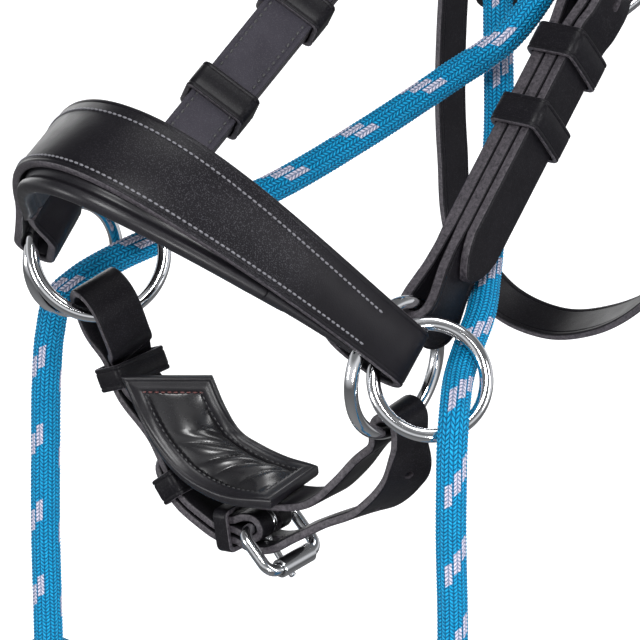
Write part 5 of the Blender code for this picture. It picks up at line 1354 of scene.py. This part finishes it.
holes = [slot_mesh(chin_at(0.8, 0.0), CHIN_WAY, CHIN_ACROSS, CHIN_OUT, 15.0, 2 * PRONG_R + 2.0,
                   2 * (CHIN_BAR_LEG + CHIN_T / 2) + 0.1),
         slot_mesh(chin_at(2.0, CHIN_OVER + 1.3), CHIN_WAY, CHIN_ACROSS, CHIN_OUT, 10.0, 2 * PRONG_R + 1.6,
                   CHIN_T + 2.8)]
for spot in (NEAR_BOTTOM + Vector((NEAR_LEG, -1.0, -16.0)), hung(66.5, 6.5, -67.5), hung(49.5, 4.5, -77.6),
             hung(63.0, 8.0, -46.5)):
    i = min(range(len(path)), key=lambda k: (path[k] - spot).length)
    along = (path[i + 1] - path[i - 1]).normalized()
    side = square_to(across[i], along)
    holes.append(slot_mesh(path[i], along, side, along.cross(side), 3.4, 3.4, 2.0 * CHIN_T))
punch(item, holes)
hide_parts("chin_strap")
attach(item, "bridle")
reach = LAY / 2 + 0.6 + CHIN_T / 2
make_keeper("chin_keeper_far", FAR_KEEPER, FAR_KEEPER_WAY, keeper_side, keeper_out, CHIN_W, -reach, reach,
            9.0, 1.6, 1.7)
make_keeper("chin_keeper_mid", MID_KEEPER, MID_WAY, BACK, MID_OUT, CHIN_W,
            -CHIN_T / 2, LAY + TAIL_LIFT + CHIN_T / 2, 10.0, 1.6, 0.75)
make_keeper("chin_keeper_low", chin_at(-12.0, 0.0), -CHIN_WAY, CHIN_ACROSS, CHIN_OUT, CHIN_W,
            -LAY / 2 - CHIN_T / 2, 1.5 * LAY + TAIL_LIFT + CHIN_T / 2, 6.4)


# Chin pad
#
# A soft pad that slides on the chin strap. Its border is leather rolled over a cord, and its middle is
# black satin over wadding, gathered so that folds run across it. A flat loop behind holds the strap.
PAD_CROWN, PAD_CHANNEL, PAD_CHANNEL_H, PAD_BORDER = 3.2, 13.2, 2.7, 7.0
GATHER_PITCH, GATHER_SLANT = 8.4, 10.0


def satin_material(name):
    """Black satin: a tight weave that shines softly and shades along its folds."""
    material, tree, shader = plain_material(name)
    maths, blend, noise, bump = node_maker(tree)
    split = tree.nodes.new("ShaderNodeSeparateXYZ")
    tree.links.new(tree.nodes["where"].outputs["UV"], split.inputs[0])
    warp = maths("SINE", maths("MULTIPLY", split.outputs[0], 2 * math.pi / 0.0005))
    weft = maths("SINE", maths("MULTIPLY", split.outputs[1], 2 * math.pi / 0.0005))
    weave = maths("MULTIPLY", warp, weft)
    dress(tree, shader, {
        "Base Color": blend(noise(120.0, 3.0), (0.0050, 0.0048, 0.0058, 1.0), (0.011, 0.0105, 0.0125, 1.0)),
        "Roughness": maths("ADD", 0.25, maths("MULTIPLY", noise(300.0, 3.0), 0.05)),
        "Normal": bump(weave, 0.04, 0.03), "Sheen Weight": 0.05, "Specular IOR Level": 0.6})
    return material


pad_satin = satin_material("pad_satin")
pad_whole = pad_gone[-1]


def pad_fold(s, a):
    """Height of the gathers: soft ridges that leave the back seam and bend across to the front."""
    t, back = s / pad_whole, min(max(0.5 + a / (PAD_W - 2 * PAD_BORDER), 0.0), 1.0)
    strength = min(max((t - 0.30) / 0.12, 0.0), 1.0) * min(max((1.0 - t) / 0.12, 0.0), 1.0)
    drift = s + GATHER_SLANT * math.sqrt(1.0 - back) + 0.8 * math.sin(0.31 * s)
    crest = abs(math.sin(math.pi * (drift - 3.0) / GATHER_PITCH)) ** 0.8
    return strength * (0.45 + 0.55 * back) * (2.1 * crest - 1.2)


def pad_height(edge, s, a):
    """Top of the pad above its border's top, at a distance in from its rim."""
    if edge < 1.0:
        return math.sqrt(max(1.0 - (1.0 - edge) ** 2, 0.0)) - 1.0 + 0.25
    if edge < 2.0:
        return 0.25 * math.cos(math.pi * (edge - 1.0)) ** 2 if edge < 1.5 else 0.0
    if edge < PAD_BORDER:
        share = (edge - 2.0) / (PAD_BORDER - 2.0)
        return 0.55 * math.sin(math.pi * (edge - 2.0) / (PAD_BORDER - 2.0)) - 0.9 * share ** 6
    swell = 1.0
    for room, reach in ((PAD_W / 2 - abs(a), 9.0), (s, 26.0), (pad_whole - s, 9.0)):
        swell *= math.sin(min((room - PAD_BORDER) / reach, 1.0) * math.pi / 2) ** 0.75
    return -0.9 + (PAD_CROWN + 0.9) * swell + pad_fold(s, a) * min((edge - PAD_BORDER) / 3.2, 1.0)


def pad_under(a, edge):
    if edge < PAD_ROLL / 2:
        swell = max(1.0 - ((edge - PAD_ROLL / 2) / (PAD_ROLL / 2)) ** 2, 0.0)
        return -PAD_ROLL / 2 - 0.05 - math.sqrt(swell) * (PAD_ROLL / 2 - 0.05)
    return -PAD_CHANNEL_H if abs(a) <= PAD_CHANNEL else -PAD_ROLL


half_pad = PAD_W / 2
rim_steps = [0.0, 0.06, 0.2, 0.45, 0.75, 1.0, 1.25, 1.5, 2.0, 2.6, 3.3, 4.0, 4.7, 5.3, 5.8, 6.2, 6.5, 6.75,
             6.9, PAD_BORDER,
             7.1, 7.3, 7.6, 8.0]
inner = [-half_pad + 8.5 + (PAD_W - 17.0) * k / 34 for k in range(35)]
spots = [-half_pad + e for e in rim_steps] + inner + [half_pad - e for e in reversed(rim_steps)]
channel = [-PAD_CHANNEL - 0.02, -PAD_CHANNEL + 0.02, PAD_CHANNEL - 0.02, PAD_CHANNEL + 0.02]
spots = sorted(set(spots + channel))
stops = sorted(set(rim_steps + [8.5 + (pad_whole - 17.0) * k / 110 for k in range(111)]
                   + [pad_whole - e for e in rim_steps]))
verts, faces, uvs, slots = [], [], [], []
for level in (0, 1):
    for s in stops:
        point, side, way, up = pad_frame(s)
        for a in spots:
            edge = min(half_pad - abs(a), s, pad_whole - s)
            h = pad_under(a, edge) if level else pad_height(edge, s, a)
            verts.append((point + a * side + h * up) * MM)
            uvs.append((a * MM, s * MM))
            slots.append(1 if edge < PAD_BORDER - 0.01 or level else 0)
rows, cols = len(stops), len(spots)


def pad_index(level, i, j):
    return level * rows * cols + i * cols + j


for i in range(rows - 1):
    for j in range(cols - 1):
        faces.append((pad_index(0, i, j), pad_index(0, i, j + 1), pad_index(0, i + 1, j + 1),
                      pad_index(0, i + 1, j)))
        faces.append((pad_index(1, i, j), pad_index(1, i + 1, j), pad_index(1, i + 1, j + 1),
                      pad_index(1, i, j + 1)))
rim = ([(0, j) for j in range(cols)] + [(i, cols - 1) for i in range(1, rows)]
       + [(rows - 1, j) for j in range(cols - 2, -1, -1)] + [(i, 0) for i in range(rows - 2, 0, -1)])
for (i, j), (k, m) in zip(rim, rim[1:] + rim[:1]):
    faces.append((pad_index(0, i, j), pad_index(0, k, m), pad_index(1, k, m), pad_index(1, i, j)))
mesh = bpy.data.meshes.new("gathered_pad")
mesh.from_pydata(verts, [], faces)
mesh.materials.append(pad_satin)
mesh.materials.append(lining_leather)
mesh.polygons.foreach_set("material_index", [max(slots[v] for v in f) for f in faces])
layer = mesh.uv_layers.new(name="UVMap")
layer.data.foreach_set("uv", [c for f in faces for v in f for c in uvs[v]])
smooth_outside(mesh, 70)
item = placed("gathered_pad", mesh)
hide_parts("chin_pad")
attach(item, "bridle")
brown_thread = thread_material("brown_thread", (0.16, 0.050, 0.046))
inset = PAD_BORDER - 0.9
for name, ends, finish in (("front", None, black_thread), ("far_end", (inset,), brown_thread),
                           ("near_end", (pad_whole - inset,), black_thread)):
    lines = []
    for a in (inset - half_pad, half_pad - inset) if ends is None else ():
        lines.append([])
        for k in range(61):
            s = inset + (pad_whole - 2 * inset) * k / 60
            point, side, way, up = pad_frame(s)
            lines[-1].append(point + a * side + (pad_height(half_pad - abs(a), s, a) + 0.05) * up)
    for s in ends or ():
        point, side, way, up = pad_frame(s)
        lines.append([point + a * side + (pad_height(min(s, pad_whole - s), s, a) + 0.05) * up
                      for a in (inset - half_pad + (PAD_W - 2 * inset) * k / 20 for k in range(21))])
    sew("pad_stitches_" + name, lines, finish, pitch=2.2, length=1.7, thread=0.33)
point, side, way, up = under_pad(PAD_LOOP_AT, PAD_STRAP_H)
make_keeper("chin_pad_loop", point, way, side, up, CHIN_W, -CHIN_T / 2, CHIN_T / 2, 7.0, 1.6, 0.75)


# Buckles
#
# Cast and polished frames with a loose prong each. The chin buckle also has a roller over its front
# bar, so that the strap's end slides through easily.
buckle_steel = steel_material("buckle_steel", (0.74, 0.75, 0.77, 1.0), 0.08, 0.16)


def make_buckle(prefix, bar, along, across, out, half_w, length, tilt, roller_r=0.0):
    lean = (math.cos(tilt) * along + math.sin(tilt) * out).normalized()
    rise = (math.cos(tilt) * out - math.sin(tilt) * along).normalized()
    middle = bar + length / 2 * lean
    loop = loop_places(half_w, length / 2, 4.5, 10)
    path = [middle + a * across + b * lean for a, b in loop]
    frame_piece = solid_of(prefix + "_frame", tube_rings(path, BAR_R, 20, True, rise), [buckle_steel], True,
                           sharp=80)
    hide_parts(prefix + "_buckle")
    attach(frame_piece, "bridle")
    front_r = roller_r or BAR_R
    wrap = BAR_R + 0.2 + PRONG_R
    points = []
    for k in range(28):
        swing = math.radians(-165.0 + 255.0 * k / 27)
        points.append(bar + wrap * (-math.cos(swing) * lean + math.sin(swing) * rise))
    tip_h = front_r + FIT + PRONG_R
    tail = smooth_line([points[-1], bar + 0.45 * length * lean + 0.5 * (wrap + tip_h) * rise,
                        bar + 0.92 * length * lean + tip_h * rise,
                        bar + (length + front_r + 0.2) * lean + (tip_h - 0.2) * rise], 0.8)
    points += tail[1:]
    end = (points[-1] - points[-2]).normalized()
    tips = [(0.25, 0.97), (0.5, 0.85), (0.72, 0.6), (0.85, 0.3)]
    radii = [PRONG_R] * len(points) + [PRONG_R * f for d, f in tips]
    last = points[-1]
    points += [last + 0.6 * d * end for d, f in tips]
    prong = solid_of(prefix + "_pin", tube_rings(points, radii, 16, False, across), [buckle_steel], sharp=80)
    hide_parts(prefix + "_prong")
    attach(prong, prefix + "_prong")
    if roller_r:
        span = half_w - 5.2
        front = bar + length * lean
        profile = [(-span, BAR_R + 0.25), (-span, roller_r - 0.35), (-span + 0.35, roller_r),
                   (span - 0.35, roller_r),
                   (span, roller_r - 0.35), (span, BAR_R + 0.25)]
        rings = []
        for k in range(48):
            swing = 2 * math.pi * k / 48
            flat = math.cos(swing) * lean + math.sin(swing) * rise
            rings.append([front + a * across + r * flat for a, r in profile])
        roller = solid_of(prefix + "_roller_tube", rings, [buckle_steel], True, sharp=40)
        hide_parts(prefix + "_roller")
        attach(roller, prefix + "_roller")


FRAME_HALF_W, FRAME_L, FRAME_TILT = 14.5, 24.0, math.radians(30.0)
for cheek, name in ((NEAR, "near"), (FAR, "far")):
    make_buckle("cheek_" + name, cheek.at(cheek.reach), cheek.along, cheek.across, cheek.out, FRAME_HALF_W,
                FRAME_L,
                FRAME_TILT)
make_buckle("throat", throat_bar, throat_way, throat_across, throat_out, THROAT_W / 2 + 4.2, 19.0,
            math.radians(28.0))
make_buckle("chin", CHIN_BAR, CHIN_WAY, CHIN_ACROSS, CHIN_OUT, CHIN_W / 2 + 5.0, CHIN_FRAME_L, CHIN_TILT,
            ROLLER_R)


# Cross straps
#
# Two straps from the crownpiece carry the ropes. The lower end of each is rolled round its rope into a
# tapered sleeve and sewn through it.
SLEEVE_L, SLEEVE_R = 34.0, 8.2
for name, mouth, way, keys in (
        ("near", FAR_MOUTH, FAR_WAY_OUT,
         [head(42.4, -44.0, 297.1), head(48.2, -44.5, 285.0), head(48.0, -45.0, 262.0),
                                          hung(46.5, 204.0, 136.0), hung(47.5, 178.0, 124.0)]),
        ("far", NEAR_MOUTH, NEAR_WAY_OUT, [head(-42.4, -44.0, 297.1), head(-48.2, -44.5, 285.0),
                                           head(-47.0, -45.0, 262.0), hung(-34.0, 200.0, 128.0),
                                           hung(-17.0, 180.0, 108.0)])):
    back = mouth - SLEEVE_L * way
    keys = keys + [back, back + 0.35 * SLEEVE_L * way]
    wide_dir = head_dir(0.0, -1.0, 0.2)
    path, across, widths = turned_along(keys, [wide_dir] * len(keys),
                                        [THROAT_W] * (len(keys) - 2) + [14.4, 13.6])
    strap_piece = make_strap("cross_leather_" + name, path, across, widths, STRAP_T, None, 1.0, 0.0)
    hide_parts("cross_strap_" + name)
    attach(strap_piece, "bridle")
    shares = [0.0, 0.05, 0.12, 0.22, 0.34, 0.6, 0.9, 0.985, 1.0, 1.0]
    radii = [0.40 * SLEEVE_R, 0.62 * SLEEVE_R, 0.80 * SLEEVE_R, 0.93 * SLEEVE_R, SLEEVE_R, SLEEVE_R, SLEEVE_R,
             0.985 * SLEEVE_R, 0.93 * SLEEVE_R, ROPE_D / 2 + 0.5]
    outer = tube_rings([back + f * SLEEVE_L * way for f in shares], radii, 40)
    bore = tube_rings([back + f * SLEEVE_L * way for f in (0.985, 0.75, 0.62)], ROPE_D / 2 + 0.5, 40)
    sleeve = solid_of("rope_sleeve_" + name, outer + bore, [strap_leather], sharp=60)
    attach(sleeve, "bridle")
    side = way.orthogonal().normalized()
    lines = []
    for f in (0.62, 0.9):
        ring_at = back + f * SLEEVE_L * way
        lines.append([ring_at + (SLEEVE_R + 0.1) * (math.cos(a) * side + math.sin(a) * way.cross(side))
                      for a in (2 * math.pi * k / 40 for k in range(41))])
    sew("sleeve_stitches_" + name, lines, black_thread, pitch=3.2, length=2.6, thread=0.4)


# Rope ties and ends
#
# A woven tie holds each hank at its waist, and a black sleeve is shrunk over each rope's cut end.
def webbing_material(name):
    """Narrow woven tape with ribs across it."""
    material, tree, shader = plain_material(name)
    maths, blend, noise, bump = node_maker(tree)
    split = tree.nodes.new("ShaderNodeSeparateXYZ")
    tree.links.new(tree.nodes["where"].outputs["Object"], split.inputs[0])
    ribs = maths("SINE", maths("MULTIPLY", split.outputs[2], 2 * math.pi / 0.0011))
    dress(tree, shader, {
        "Base Color": blend(noise(800.0, 3.0), (0.012, 0.012, 0.013, 1.0), (0.05, 0.05, 0.053, 1.0)),
        "Normal": bump(maths("ADD", ribs, noise(1500.0)), 0.5, 0.2), "Roughness": 0.75})
    return material


def cap_material(name):
    """Shrunk plastic sleeve with a faint print of the braid below it."""
    material, tree, shader = plain_material(name)
    _, blend, noise, bump = node_maker(tree)
    dress(tree, shader, {
        "Base Color": blend(noise(300.0, 3.0), (0.012, 0.012, 0.012, 1.0), (0.03, 0.03, 0.03, 1.0)),
        "Normal": bump(noise(900.0, 3.0), 0.3, 0.2), "Roughness": 0.38})
    return material


tie_webbing, end_cap = webbing_material("tie_webbing"), cap_material("end_cap_plastic")
for node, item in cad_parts.items():
    if node.startswith("rope_tie_") or node.startswith("rope_end_"):
        finish = tie_webbing if "tie" in node else end_cap
        for spot in item.material_slots:
            spot.material = finish
